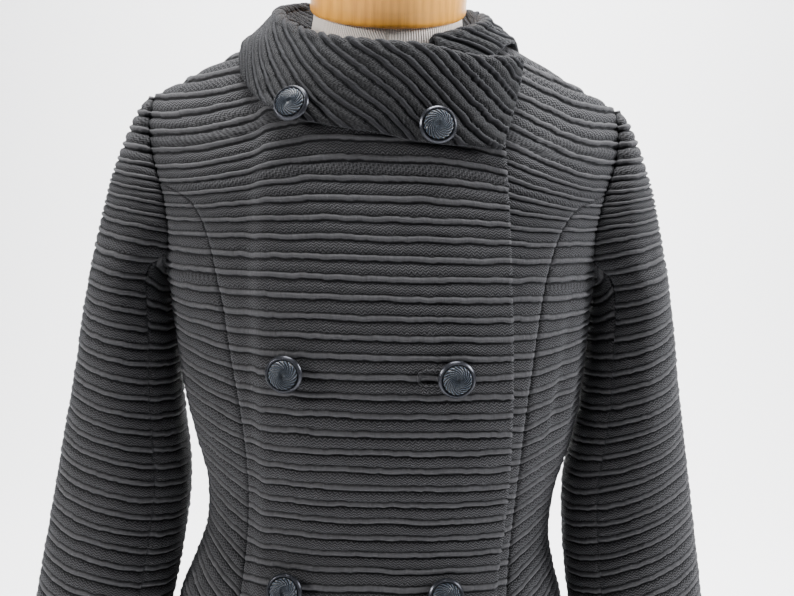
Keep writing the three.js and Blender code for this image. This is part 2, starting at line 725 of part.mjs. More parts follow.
// Height where the sleeve's seam runs into the armhole
function seamTop(side) {
  let low = UNDERARM_Z;
  let high = HORN_TOP_Z;
  for (let i = 0; i < HALVINGS; i += 1) {
    const middle = (low + high) / 2;
    if (openTurn(middle, side) > seamTurn(middle)) low = middle;
    else high = middle;
  }
  return (low + high) / 2;
}

// The under sleeve's last rows bend up into the armhole's curve
function underSleeve(name, hand) {
  const top = { '-1': seamTop(-1), 1: seamTop(1) };
  const spot = (level, share) => {
    const bend = smooth(level, HORN_FROM_Z, UNDERARM_Z);
    const side = share < 0.5 ? -1 : 1;
    const edgeZ = level + (top[side] - UNDERARM_Z) * bend;
    const edge = seamTurn(edgeZ) + seamSlack(edgeZ);
    const away = Math.abs(share - 0.5) * 2;
    const turn = Math.PI - away * (Math.PI - edge);
    const last = Math.PI - away * (Math.PI - seamTurn(top[side]));
    const rise = away === 0 ? 0 : hornHeight(last, side) - UNDERARM_Z;
    return [level + rise * bend - 0.01, side < 0 ? turn : 2 * Math.PI - turn];
  };
  const press = (level) => ({ all: 1 - smooth(level, HORN_FROM_Z, HORN_FROM_Z + 30), edge: SEAM_PRESS });
  return sleevePiece(name, hand, sleeveLevels(UNDERARM_Z - 0.5), UNDER_SLEEVE_COLUMNS, spot, press);
}

// Height of the shoulder's roof over a point, or nothing where the body is too steep there
function roofHeight(x, y) {
  const side = y < 0 ? -1 : 1;
  let low = ridge(x) - ROOF_DROP / 2;
  let high = ridge(x);
  if (Math.abs(skinDepth(x, low, side)) < Math.abs(y)) return null;
  for (let n = 0; n < HALVINGS; n += 1) {
    const middle = (low + high) / 2;
    if (Math.abs(skinDepth(x, middle, side)) > Math.abs(y)) low = middle;
    else high = middle;
  }
  return low;
}

// Push a point out until it stands clear of the jacket's skin
function clearOfBody(point, margin) {
  for (let n = 0; n < 4; n += 1) {
    const side = point.y < 0 ? -1 : 1;
    const roof = roofHeight(point.x, point.y);
    const z = roof === null ? point.z : roof;
    const foot = new THREE.Vector3(point.x, roof === null ? skinDepth(point.x, z, side) : point.y, z);
    const normal = skinNormal(point.x, z, side);
    const lift = side < 0 ? overlapLift(-point.x, z) : 0;
    const short = margin + lift - point.clone().sub(foot).dot(normal);
    if (short > 0) point.addScaledVector(normal, short);
  }
  return point;
}

// Foot of the stand, just inside the edge of the neckline that it is sewn to
function collarFoot({ sx, sz, side }, row) {
  const lift = row < COLLAR.length / 2 && side < 0 ? overlapLift(-sx, sz) : 0;
  const depth = skinDepth(sx, Math.min(sz, ridge(sx) - REST_GAP), side) + side * lift;
  const point = new THREE.Vector3(sx, depth, sz + FOOT_RISE);
  const inward = new THREE.Vector3(-point.x, -point.y, 0).normalize();
  return point.addScaledVector(inward, FOOT_INSET);
}

const curveOf = (spot) => new THREE.CatmullRomCurve3(COLLAR.map(spot), false, 'catmullrom', 0.5);
const ROLL_LINE = curveOf(({ x, y, z }) => new THREE.Vector3(x, y, z));
const FREE_EDGE = curveOf(({ ex, ey, ez }) => new THREE.Vector3(ex, ey, ez));
const NECK_SEAM = curveOf(collarFoot);

// The collar's visible skin: up the stand, over the roll and down the fall. share runs along it
function collarColumn(share, fallRows) {
  const roll = ROLL_LINE.getPoint(share);
  const edge = FREE_EDGE.getPoint(share);
  const foot = NECK_SEAM.getPoint(share);
  const along = ROLL_LINE.getTangent(share);
  const away = new THREE.Vector3(-along.y, along.x, 0).normalize();
  if (away.dot(new THREE.Vector3(roll.x, roll.y, 0)) < 0) away.negate();
  const centre = roll.clone().setZ(roll.z - ROLL_RADIUS);
  const inside = centre.clone().addScaledVector(away, -ROLL_RADIUS);
  const outside = centre.clone().addScaledVector(away, ROLL_RADIUS);
  const column = [];
  for (let i = 0; i < STAND_ROWS; i += 1) column.push(foot.clone().lerp(inside, i / STAND_ROWS));
  for (let i = 0; i < ROLL_STEPS; i += 1) {
    const turn = (Math.PI * i) / ROLL_STEPS;
    const step = away.clone().multiplyScalar(-Math.cos(turn) * ROLL_RADIUS);
    column.push(centre.clone().add(step).setZ(centre.z + Math.sin(turn) * ROLL_RADIUS));
  }
  for (let i = 0; i <= fallRows; i += 1) {
    const t = i / fallRows;
    const point = outside.clone().lerp(edge, t).addScaledVector(away, FALL_CROWN * 4 * t * (1 - t));
    column.push(clearOfBody(point, COLLAR_CLEAR));
  }
  return column;
}

// Directions out of a grid of points, from its neighbours
function gridNormals(grid, sign) {
  const rows = grid.length;
  const columns = grid[0].length;
  return grid.map((row, i) => row.map((_, j) => {
    const down = grid[Math.min(i + 1, rows - 1)][j].clone().sub(grid[Math.max(i - 1, 0)][j]);
    const across = row[Math.min(j + 1, columns - 1)].clone().sub(row[Math.max(j - 1, 0)]);
    return across.cross(down).multiplyScalar(sign).normalize();
  }));
}

// The collar, one bias-cut band that spirals round the neck and folds over on itself
function collar() {
  const rows = STAND_ROWS + ROLL_STEPS + FALL_ROWS + 1;
  const grid = [];
  for (let i = 0; i < rows; i += 1) {
    const fallen = Math.max(0, (i - STAND_ROWS - ROLL_STEPS) / FALL_ROWS);
    const row = [];
    for (let j = 0; j <= COLLAR_COLUMNS; j += 1) {
      const share = j / COLLAR_COLUMNS;
      const ease = Math.min(1, share / SLANT_EASE, (1 - share) / SLANT_EASE);
      row.push(collarColumn(share - COLLAR_SLANT * fallen * ease, FALL_ROWS)[i]);
    }
    grid.push(row);
  }
  const normals = gridNormals(grid, 1);
  const rib = (i, j) => (j % 2 === 1 && i > STAND_ROWS ? RIB_RISE : 0);
  const outer = grid.map((row, i) => row.map((p, j) => p.clone().addScaledVector(normals[i][j], rib(i, j))));
  const inner = grid.map((row, i) => row.map((p, j) => p.clone().addScaledVector(normals[i][j], -WALL)));
  const kept = [];
  for (let i = 0; i < rows; i += 1) {
    const onFall = i > STAND_ROWS + ROLL_STEPS;
    const skip = onFall && i !== rows - 1 && (i - STAND_ROWS - ROLL_STEPS) % COLLAR_PLAIN_ROWS !== 0;
    if (!skip) kept.push(i);
  }
  return mesh('collar', wallGeometry(outer, inner, kept), cloth());
}

// Nearest place on the collar's fall to a point given from the front
function collarSpot(x, z) {
  let best = null;
  const near = 1e-3;
  for (let share = 0; share < 0.6; share += 0.004) {
    const column = collarColumn(share, FALL_ROWS * 4).slice(STAND_ROWS + ROLL_STEPS + 1);
    column.forEach((point, i) => {
      const away = (point.x - x) ** 2 + (point.z - z) ** 2;
      if (i > 0 && point.y < 0 && (!best || away < best.away)) {
        const next = collarColumn(share + near, FALL_ROWS * 4)[STAND_ROWS + ROLL_STEPS + 1 + i];
        const normal = next.sub(point).cross(point.clone().sub(column[i - 1])).normalize();
        if (normal.y > 0) normal.negate();
        best = { away, point, normal };
      }
    });
  }
  return best;
}

function lathe(profile, sides) {
  const points = profile.map(({ r, h }) => new THREE.Vector2(r, h));
  return new THREE.LatheGeometry(points, sides);
}

// Move a piece along its own axis until its shank is just clear of the cloth that carries it
function seat(piece, normal, carrier) {
  const down = normal.clone().negate();
  const across = new THREE.Vector3(0, 0, 1).cross(normal).normalize();
  const up = normal.clone().cross(across);
  let room = Infinity;
  for (let n = 0; n < SEAT_RAYS; n += 1) {
    const turn = (2 * Math.PI * n) / SEAT_RAYS;
    const from = piece.position.clone().addScaledVector(normal, BUTTON_RADIUS);
    from.addScaledVector(across, SHANK_RADIUS * Math.cos(turn));
    from.addScaledVector(up, SHANK_RADIUS * Math.sin(turn));
    const [hit] = new THREE.Raycaster(from, down).intersectObject(carrier);
    room = Math.min(room, hit.distance - BUTTON_RADIUS);
  }
  piece.position.addScaledVector(normal, REST_GAP - room);
}

// A shank button on its shank, standing off the ribs
function button(name, point, normal, carrier) {
  const piece = mesh(name, lathe(BUTTON_PROFILE, BUTTON_SIDES), material(0x1b1d24, 0.35, 0.5));
  piece.quaternion.setFromUnitVectors(new THREE.Vector3(0, 1, 0), normal);
  piece.position.copy(point).addScaledVector(normal, RIB_RISE);
  seat(piece, normal, carrier);
  return piece;
}

function frontSpot(x, z) {
  const normal = skinNormal(x, z, -1);
  const sway = track(LEVELS, 'sway', z);
  const point = new THREE.Vector3(x, skinDepth(x - sway, z, -1), z);
  return { point: point.addScaledVector(normal, overlapLift(-(x - sway), z)), normal };
}

// The worked ring round the buttonhole, lying on the ribs of the front
function buttonhole() {
  const { x, z, half, height, band, thick, steps } = BUTTONHOLE;
  const ring = [];
  for (let n = 0; n < steps; n += 1) {
    const turn = (2 * Math.PI * n) / steps;
    const round = (grow) => {
      const px = x + (half + grow - height) * Math.sign(Math.cos(turn)) + (height + grow) * Math.cos(turn);
      return [px, z + (height + grow) * Math.sin(turn)];
    };
    const at = (grow, out) => {
      const [px, pz] = round(grow);
      const { point, normal } = frontSpot(px, pz);
      return point.addScaledVector(normal, RIB_RISE + REST_GAP + out);
    };
    ring.push([at(0, 0), at(band, 0), at(band, thick), at(0, thick)]);
  }
  const points = ring.flat();
  const faces = [];
  for (let n = 0; n < steps; n += 1) {
    const m = (n + 1) % steps;
    for (let k = 0; k < 4; k += 1) {
      const q = (k + 1) % 4;
      faces.push(n * 4 + k, m * 4 + k, m * 4 + q, n * 4 + k, m * 4 + q, n * 4 + q);
    }
  }
  return mesh('buttonhole', closedGeometry(points, faces), cloth());
}

// One ring of the dress form, closed round the body under the jacket
function formRing(z) {
  const reach = Math.min(track(LEVELS, 'half', z) - FORM_INSET, FORM_HALF_MOST);
  const roofed = NECK_POINT.x + (NECK_POINT.z - FORM_SHOULDER_DROP - z) / SHOULDER_SLOPE;
  const half = Math.min(reach, roofed);
  const ring = [];
  for (let n = 0; n < FORM_SIDES; n += 1) {
    const turn = (2 * Math.PI * n) / FORM_SIDES;
    const x = reachOf(Math.asin(Math.sin(turn)), half);
    const side = Math.cos(turn) > 0 ? -1 : 1;
    const depth = track(LEVELS, side < 0 ? 'front' : 'back', z) - FORM_INSET;
    const wide = roofed < reach ? reach + FORM_INSET : reach;
    const share = Math.max(0, 1 - (Math.abs(x) / wide) ** SQUARENESS);
    const roof = clamp((ridge(x) - FORM_SHOULDER_DROP - z) / ROOF_DROP, 0, 1);
    const y = depth * share ** (1 / SQUARENESS) * Math.sqrt(1 - (1 - roof) * (1 - roof));
    const edge = Math.abs(Math.cos(turn)) < 1e-6;
    ring.push(new THREE.Vector3(x + track(LEVELS, 'sway', z), edge ? 0 : side * y, z));
  }
  return ring;
}

function neckRing({ z, x, y, shift, tilt }) {
  const ring = [];
  for (let n = 0; n < FORM_SIDES; n += 1) {
    const turn = (2 * Math.PI * n) / FORM_SIDES;
    const py = -y * Math.cos(turn);
    ring.push(new THREE.Vector3(x * Math.sin(turn), py + shift, z + py * tilt));
  }
  return ring;
}

// Closed rings one above another, with a flat lid at each end
function loft(rings) {
  const count = rings[0].length;
  const points = rings.flat();
  const faces = [];
  for (let i = 0; i + 1 < rings.length; i += 1) {
    for (let n = 0; n < count; n += 1) {
      const m = (n + 1) % count;
      faces.push(i * count + n, i * count + m, (i + 1) * count + m);
      faces.push(i * count + n, (i + 1) * count + m, (i + 1) * count + n);
    }
  }
  for (const [i, flip] of [[0, true], [rings.length - 1, false]]) {
    const centre = new THREE.Vector3();
    rings[i].forEach((p) => centre.add(p));
    points.push(centre.divideScalar(count));
    for (let n = 0; n < count; n += 1) {
      const pair = [i * count + n, i * count + ((n + 1) % count)];
      if (flip) pair.reverse();
      faces.push(pair[0], pair[1], points.length - 1);
    }
  }
  return closedGeometry(points, faces);
}

function formBody() {
  const rings = [...FORM_ROWS.map(formRing), ...NECK_RINGS.map(neckRing)];
  return mesh('form_body', loft(rings), material(0xe9e2d0, 0.9, 0));
}

function formCap() {
  const { radius, height, edge, dome, sides } = CAP;
  const profile = [
    { r: 0, h: 0 },
    { r: radius - 2, h: 0 },
    { r: radius, h: 3 },
    { r: radius, h: height - edge },
    { r: radius - edge, h: height },
    { r: 0, h: height + dome },
  ];
  const neck = NECK_RINGS[NECK_RINGS.length - 1];
  const piece = mesh('form_cap', lathe(profile, sides), material(0xa9622a, 0.4, 0));
  const axis = new THREE.Vector3(0, -neck.tilt, 1).normalize();
  piece.quaternion.setFromUnitVectors(new THREE.Vector3(0, 1, 0), axis);
  piece.position.set(0, neck.shift, neck.z).addScaledVector(axis, REST_GAP);
  return piece;
}

function standBase() {
  const { radius, height, edge, hub, hubHeight, sides } = BASE;
  const profile = [
    { r: 0, h: 0 },
    { r: radius, h: 0 },
    { r: radius, h: height - edge },
    { r: radius - edge, h: height },
    { r: hub, h: height + 2 },
    { r: hub - 6, h: height + hubHeight },
    { r: 0, h: height + hubHeight },
  ];
  const piece = mesh('stand_base', lathe(profile, sides), material(0x8a4f22, 0.45, 0));
  piece.rotation.x = Math.PI / 2;
  return piece;
}

function standStem() {
  const { radius, flange, flangeHeight, sides } = STEM;
  const low = BASE.height + BASE.hubHeight + REST_GAP;
  const top = FORM_ROWS[0] - REST_GAP;
  const profile = [
    { r: 0, h: low },
    { r: radius, h: low },
    { r: radius, h: top - flangeHeight - 14 },
    { r: flange, h: top - flangeHeight },
    { r: flange, h: top },
    { r: 0, h: top },
  ];
  const piece = mesh('stand_stem', lathe(profile, sides), material(0x8a4f22, 0.45, 0));
  piece.rotation.x = Math.PI / 2;
  return piece;
}

const group = new THREE.Group();
const topFront = front({
  name: 'front_right',
  hand: -1,
  reach: 0,
  stops: TOP_FRONT_STOPS,
  lift: overlapLift,
  covered: flat,
});
group.add(topFront);
group.add(front({
  name: 'front_left',
  hand: 1,
  reach: UNDER_FRONT_SHORT,
  stops: UNDER_FRONT_STOPS,
  lift: flat,
  covered: (x) => (x < COVERED_X ? 1 : 0),
}));
group.add(backPanel());
for (const [word, hand] of [['right', -1], ['left', 1]]) {
  group.add(sidePanel(`side_front_${word}`, hand, -1));
  group.add(sidePanel(`side_back_${word}`, hand, 1));
  group.add(topSleeve(`top_sleeve_${word}`, hand));
  group.add(underSleeve(`under_sleeve_${word}`, hand));
}
const neckband = collar();
group.add(neckband);
for (const { name, x, z } of COLLAR_BUTTONS) {
  const { point, normal } = collarSpot(x, z);
  group.add(button(name, point, normal, neckband));
}
for (const { name, x, z } of FRONT_BUTTONS) {
  const { point, normal } = frontSpot(x, z);
  group.add(button(name, point, normal, topFront));
}
group.add(buttonhole());
group.add(formBody());
group.add(formCap());
group.add(standStem());
group.add(standBase());

export default group;
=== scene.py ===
import logging
import math
from dataclasses import dataclass
from enum import Enum
from typing import Callable, NamedTuple, Sequence

import bmesh
import bpy
import numpy as np
from mathutils import Matrix, Vector


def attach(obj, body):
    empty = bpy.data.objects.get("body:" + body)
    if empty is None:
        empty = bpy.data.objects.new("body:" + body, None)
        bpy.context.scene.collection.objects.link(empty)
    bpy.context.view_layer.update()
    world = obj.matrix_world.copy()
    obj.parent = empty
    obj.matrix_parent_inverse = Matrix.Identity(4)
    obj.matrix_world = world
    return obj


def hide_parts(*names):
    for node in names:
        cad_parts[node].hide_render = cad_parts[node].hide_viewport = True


MM = 0.001
LOG = logging.getLogger("jacket")
Array = np.ndarray
Edge = Callable[[Array], Array]


class Side(Enum):
    """Which way a panel of the body faces."""

    FRONT = -1
    BACK = 1


class Hand(Enum):
    """The wearer's right or left, as the sign of X."""

    RIGHT = -1
    LEFT = 1

    @property
    def word(self) -> str:
        """The word used in node names.

        Returns:
            "right" or "left".
        """
        return self.name.lower()


def smooth(value: Array, low: float, high: float) -> Array:
    """Ease from 0 to 1 between two values.

    Args:
        value: What is eased.
        low: Where the ease starts.
        high: Where it ends.

    Returns:
        The eased share.
    """
    share = np.clip((value - low) / (high - low), 0.0, 1.0)
    return share * share * (3.0 - 2.0 * share)


def lattice(x: Array, y: Array, seed: int) -> Array:
    """Smooth noise from -1 to 1 with one random value a unit.

    Args:
        x: First coordinate, in cells.
        y: Second coordinate, in cells.
        seed: Which noise.

    Returns:
        The noise at each place.
    """
    table = np.random.default_rng(seed).uniform(-1.0, 1.0, (128, 128))
    x, y = np.broadcast_arrays(np.asarray(x, float), np.asarray(y, float))
    i, j = np.floor(x).astype(int), np.floor(y).astype(int)
    s, t = x - i, y - j
    s, t = s * s * (3 - 2 * s), t * t * (3 - 2 * t)
    pick = lambda a, b: table[(i + a) % 128, (j + b) % 128]
    low = pick(0, 0) * (1 - s) + pick(1, 0) * s
    high = pick(0, 1) * (1 - s) + pick(1, 1) * s
    return low * (1 - t) + high * t


def bisect(inside: Callable[[Array], Array], low: Array, high: Array, steps: int = 40) -> Array:
    """The place where a test turns from true to false, for many places at once.

    Args:
        inside: The test, true at low.
        low: Where it is true.
        high: Where it is false.
        steps: How often the span is halved.

    Returns:
        The turning places.
    """
    low, high = np.broadcast_arrays(np.asarray(low, float), np.asarray(high, float))
    low, high = low.copy(), high.copy()
    for _ in range(steps):
        middle = (low + high) / 2
        yes = inside(middle)
        low, high = np.where(yes, middle, low), np.where(yes, high, middle)
    return (low + high) / 2


class Track:
    """A smooth curve through the rows of a table, read at a height."""

    def __init__(self, at: Sequence[float], values: Sequence[float]) -> None:
        """Keep the rows and work out the slopes at them.

        Args:
            at: Heights of the rows, rising.
            values: The value in each row.
        """
        self.at = np.asarray(at, float)
        self.values = np.asarray(values, float)
        last = len(self.at) - 1
        low = np.maximum(np.arange(last + 1) - 1, 0)
        high = np.minimum(np.arange(last + 1) + 1, last)
        self.slopes = (self.values[high] - self.values[low]) / (self.at[high] - self.at[low])

    def __call__(self, z: Array) -> Array:
        """Read the curve.

        Args:
            z: Heights.

        Returns:
            Values at those heights.
        """
        z = np.clip(z, self.at[0], self.at[-1])
        i = np.clip(np.searchsorted(self.at, z, "left") - 1, 0, len(self.at) - 2)
        span = self.at[i + 1] - self.at[i]
        t = (z - self.at[i]) / span
        a, b = self.values[i], self.values[i + 1]
        pull = t * (1 - t) ** 2 * self.slopes[i] - t * t * (1 - t) * self.slopes[i + 1]
        return a + (b - a) * t * t * (3 - 2 * t) + span * pull


def tracks(rows: Sequence[NamedTuple]) -> dict[str, Track]:
    """One curve for each named column of a table whose first column is z.

    Args:
        rows: The rows.

    Returns:
        Curves by column name.
    """
    at = [row.z for row in rows]
    names = rows[0]._fields[1:]
    return {name: Track(at, [getattr(row, name) for row in rows]) for name in names}


class Level(NamedTuple):
    """The skin of the figure at a height, in mm."""

    z: float
    half: float
    front: float
    back: float
    sway: float


class Reach(NamedTuple):
    """A distance from the middle at a height, in mm."""

    z: float
    x: float


class Ring(NamedTuple):
    """A ring of the sleeve at a height, in mm. Near is how much closer the right one's inner line lies."""

    z: float
    inner: float
    near: float
    depth: float
    middle: float
    lean: float


class CollarRow(NamedTuple):
    """The collar's roll line, free edge and neck seam at one place round the neck, in mm."""

    x: float
    y: float
    z: float
    ex: float
    ey: float
    ez: float
    sx: float
    sz: float
    side: int


@dataclass(frozen=True)
class Figure:
    """The jacket's skin without its ribs, in mm. X is the distance from the middle."""

    hem: float = 385.0
    squareness: float = 2.5
    neck_x: float = 84.0
    neck_z: float = 1038.3
    slope: float = 0.523
    roof_drop: float = 130.0
    underarm: float = 830.0
    shoulder_z: float = 978.0
    princess_top: float = 905.2
    neckline: float = 948.0
    lift: float = 7.6
    fall: float = 26.0
    fall_reach: tuple[float, float] = (30.0, 180.0)
    fall_levels: tuple[float, float] = (850.0, 960.0)
    seam_span: tuple[float, float] = (60.0, 230.0)
    seam_half: float = 0.2
    levels: tuple[Level, ...] = (
        Level(330, 186, 143, 130, 0),
        Level(385, 186, 142, 129, 0),
        Level(450, 184, 137, 127, 0),
        Level(500, 178, 130, 120, 0),
        Level(551, 168, 120, 107, 0),
        Level(580, 158, 114, 97, 2),
        Level(610, 151, 109, 89, 4),
        Level(650, 153, 114, 88, 6),
        Level(690, 163.5, 124, 94, 6),
        Level(720, 170, 130, 100, 5),
        Level(765, 176, 134, 107, 3),
        Level(811, 181, 132, 111, 1),
        Level(830, 183.5, 130, 112, 0),
        Level(850, 186, 127, 112, 0),
        Level(893, 196, 119, 109, 0),
        Level(909, 200, 115, 107, 0),
        Level(931, 205, 109, 103, 0),
        Level(953, 208, 102, 99, 0),
        Level(978, 208, 94, 93, 0),
        Level(1000, 208, 86, 86, 0),
        Level(1043, 208, 68, 72, 0),
    )
    armhole: tuple[Reach, ...] = (
        Reach(830, 183.5), Reach(840, 181), Reach(850, 178.5), Reach(870, 177), Reach(893, 181),
        Reach(909, 187), Reach(931, 196), Reach(953, 200.5), Reach(978, 199.3),
    )
    princess: tuple[Reach, ...] = (
        Reach(330, 122), Reach(450, 114), Reach(585, 110), Reach(650, 110), Reach(710, 113),
        Reach(760, 119), Reach(828, 130), Reach(870, 141), Reach(890, 153), Reach(898, 165),
        Reach(905.2, 183.6),
    )
    front_neck: tuple[Reach, ...] = (
        Reach(948, -92), Reach(956, -60), Reach(962, -30), Reach(967, 0), Reach(972, 22),
        Reach(979, 42), Reach(989, 60), Reach(1004, 74), Reach(1022, 82), Reach(1038.3, 84),
    )
    front_edge: tuple[Reach, ...] = (
        Reach(330, -96), Reach(590, -97), Reach(800, -100), Reach(870, -98), Reach(948, -92),
    )
    climbs: tuple[Reach, ...] = (
        Reach(330, 0.65), Reach(560, 0.65), Reach(600, 0.6), Reach(650, 0.5), Reach(700, 0.36),
        Reach(740, 0.25), Reach(775, 0.15), Reach(820, 0.0), Reach(1100, 0.0),
    )

    def __post_init__(self) -> None:
        """Turn the tables into curves once."""
        put = object.__setattr__
        for name, track in tracks(self.levels).items():
            put(self, "at_" + name, track)
        put(self, "at_princess", tracks(self.princess)["x"])
        put(self, "at_edge", tracks(self.front_edge)["x"])
        put(self, "at_climb", tracks(self.climbs)["x"])

    @staticmethod
    def straight(rows: Sequence[Reach], z: Array) -> Array:
        """Straight lines between the rows of a table.

        Args:
            rows: The rows.
            z: Heights.

        Returns:
            Distances at those heights.
        """
        return np.interp(z, [row.z for row in rows], [row.x for row in rows])

    def ridge(self, x: Array) -> Array:
        """Height of the shoulder line.

        Args:
            x: Distances from the middle.

        Returns:
            Heights.
        """
        return self.neck_z - self.slope * (np.abs(x) - self.neck_x)

    def roof(self, x: Array, z: Array) -> Array:
        """Share of the full depth that is left under the shoulder line.

        Args:
            x: Distances from the middle.
            z: Heights.

        Returns:
            Shares from 0 to 1.
        """
        t = np.clip((self.ridge(x) - z) / self.roof_drop, 0.0, 1.0)
        return np.sqrt(1.0 - (1.0 - t) ** 2)

    def deep(self, z: Array, side: int) -> Array:
        """Depth in the middle.

        Args:
            z: Heights.
            side: -1 in front and 1 behind.

        Returns:
            Depths.
        """
        return self.at_front(z) if side < 0 else self.at_back(z)

    def skin(self, x: Array, z: Array, side: int) -> Array:
        """Y of the skin.

        Args:
            x: Distances from the middle.
            z: Heights.
            side: -1 in front and 1 behind.

        Returns:
            Y at each place.
        """
        share = np.maximum(0.0, 1.0 - (np.abs(x) / self.at_half(z)) ** self.squareness)
        return side * self.deep(z, side) * share ** (1.0 / self.squareness) * self.roof(x, z)

    def normal(self, x: Array, z: Array, side: int) -> Array:
        """Outward direction of the skin, from the slope of its own equation.

        Args:
            x: Distances from the middle.
            z: Heights.
            side: -1 in front and 1 behind.

        Returns:
            Unit vectors in a last axis of three.
        """
        y = self.skin(x, z, side)

        def level(px: Array, py: Array, pz: Array) -> Array:
            """The skin's own equation.

            Args:
                px: Distances from the middle.
                py: Y.
                pz: Heights.

            Returns:
                1 on the skin and less inside it.
            """
            deep = np.maximum(self.deep(pz, side) * self.roof(px, pz), 1.0)
            return (np.abs(px) / self.at_half(pz)) ** self.squareness + (
                np.abs(py) / deep) ** self.squareness

        e = 0.1
        low = np.minimum(z, self.ridge(x) - 1.5 * e)
        out = np.stack([
            level(x + e, y, low) - level(x - e, y, low),
            level(x, y + e, low) - level(x, y - e, low),
            level(x, y, low + e) - level(x, y, low - e),
        ], -1)
        top = np.stack([self.slope * np.sign(x), np.zeros_like(y), np.ones_like(y)], -1)
        out = np.where((self.ridge(x) - z < 0.5)[..., None], top, out)
        return out / np.linalg.norm(out, axis=-1, keepdims=True)

    def rib_height(self, level: Array, x: Array) -> Array:
        """Height of a rib row, which falls to the shoulder and climbs to the side seam.

        Args:
            level: Level of the row in the middle.
            x: Distances from the middle.

        Returns:
            Heights.
        """
        reach = np.abs(x)
        fall = self.fall * smooth(level, *self.fall_levels)
        beyond = np.maximum(0.0, reach - self.at_princess(np.minimum(level, 900.0)))
        return level - fall * smooth(reach, *self.fall_reach) + self.at_climb(level) * beyond

    def neck_fall(self) -> float:
        """How far the highest row falls from the middle to the neck's side.

        Returns:
            The fall in mm.
        """
        return self.fall * float(smooth(np.array(self.neck_x), *self.fall_reach))

    def outer_edge(self, z: Array) -> Array:
        """Outer end of a row: side seam, armhole or shoulder seam.

        Args:
            z: Heights.

        Returns:
            Distances from the middle.
        """
        shoulder = self.neck_x + (self.neck_z - z) / self.slope
        above = np.where(z <= self.shoulder_z, self.straight(self.armhole, z), shoulder)
        return np.where(z < self.underarm, self.at_half(z), above)

    def princess_edge(self, z: Array) -> Array:
        """Where the front or back panel ends.

        Args:
            z: Heights.

        Returns:
            Distances from the middle.
        """
        return np.where(z < self.princess_top, self.at_princess(z), self.outer_edge(z))

    def front_inner(self, z: Array) -> Array:
        """Front edge and neckline of the overlapping front.

        Args:
            z: Heights.

        Returns:
            Distances from the middle, less than 0 past it.
        """
        return np.where(z < self.neckline, self.at_edge(z), self.straight(self.front_neck, z))

    def overlap(self, x: Array, z: Array) -> Array:
        """How far the overlapping front stands off from the one underneath.

        Args:
            x: Distances from the middle on its own side.
            z: Heights.

        Returns:
            Distances out.
        """
        return self.lift * smooth(-x, -107.0, -90.0) * (1.0 - smooth(z, 966.0, 986.0))

    def meet(self, level: Array, edge: Edge, low: float, high: float) -> Array:
        """Where rows meet an edge that is given as a distance by height.

        Args:
            level: Levels of the rows.
            edge: The edge.
            low: Least distance.
            high: Greatest distance.

        Returns:
            A distance for each row.
        """
        test = lambda x: x - edge(self.rib_height(level, x)) <= 0
        return bisect(test, np.full_like(level, low), np.full_like(level, high))

    def roof_height(self, x: Array, y: Array) -> Array:
        """Height of the shoulder over a place.

        Args:
            x: Distances from the middle.
            y: Y, less than 0 in front.

        Returns:
            Heights, or nan where the body is too steep there.
        """
        start = self.ridge(x) - self.roof_drop / 2
        deep = lambda z: np.abs(np.where(y < 0, self.skin(x, z, -1), self.skin(x, z, 1)))
        found = bisect(lambda z: deep(z) > np.abs(y), start, self.ridge(x), 30)
        return np.where(deep(start) < np.abs(y), np.nan, found)

    def front_spot(self, x: float, z: float) -> tuple[Array, Array]:
        """A place on the overlapping front.

        Args:
            x: World X in mm.
            z: World Z in mm.

        Returns:
            The point and the direction out of the cloth.
        """
        sway = float(self.at_sway(z))
        own = np.array([x - sway])
        high = np.array([z])
        out = self.normal(own, high, -1)[0]
        point = np.array([x, float(self.skin(own, high, -1)[0]), z])
        return point + out * float(self.overlap(-own, high)[0]), out


@dataclass(frozen=True)
class Crease:
    """A soft trough or ridge in the cloth, in mm. Depth is less than 0 for a ridge."""

    start: tuple[float, float, float]
    end: tuple[float, float, float]
    depth: float
    width: float

    def press(self, points: Array) -> Array:
        """How far the crease moves points in.

        Args:
            points: Points in a last axis of three, in mm.

        Returns:
            Distances in.
        """
        a, b = np.array(self.start), np.array(self.end)
        span = b - a
        t = np.clip(((points - a) @ span) / (span @ span), 0.0, 1.0)
        away = np.linalg.norm(points - a - t[..., None] * span, axis=-1)
        fade = smooth(t, -0.25, 0.25) * (1.0 - smooth(t, 0.7, 1.25))
        return self.depth * fade * np.exp(-((away / self.width) ** 2))


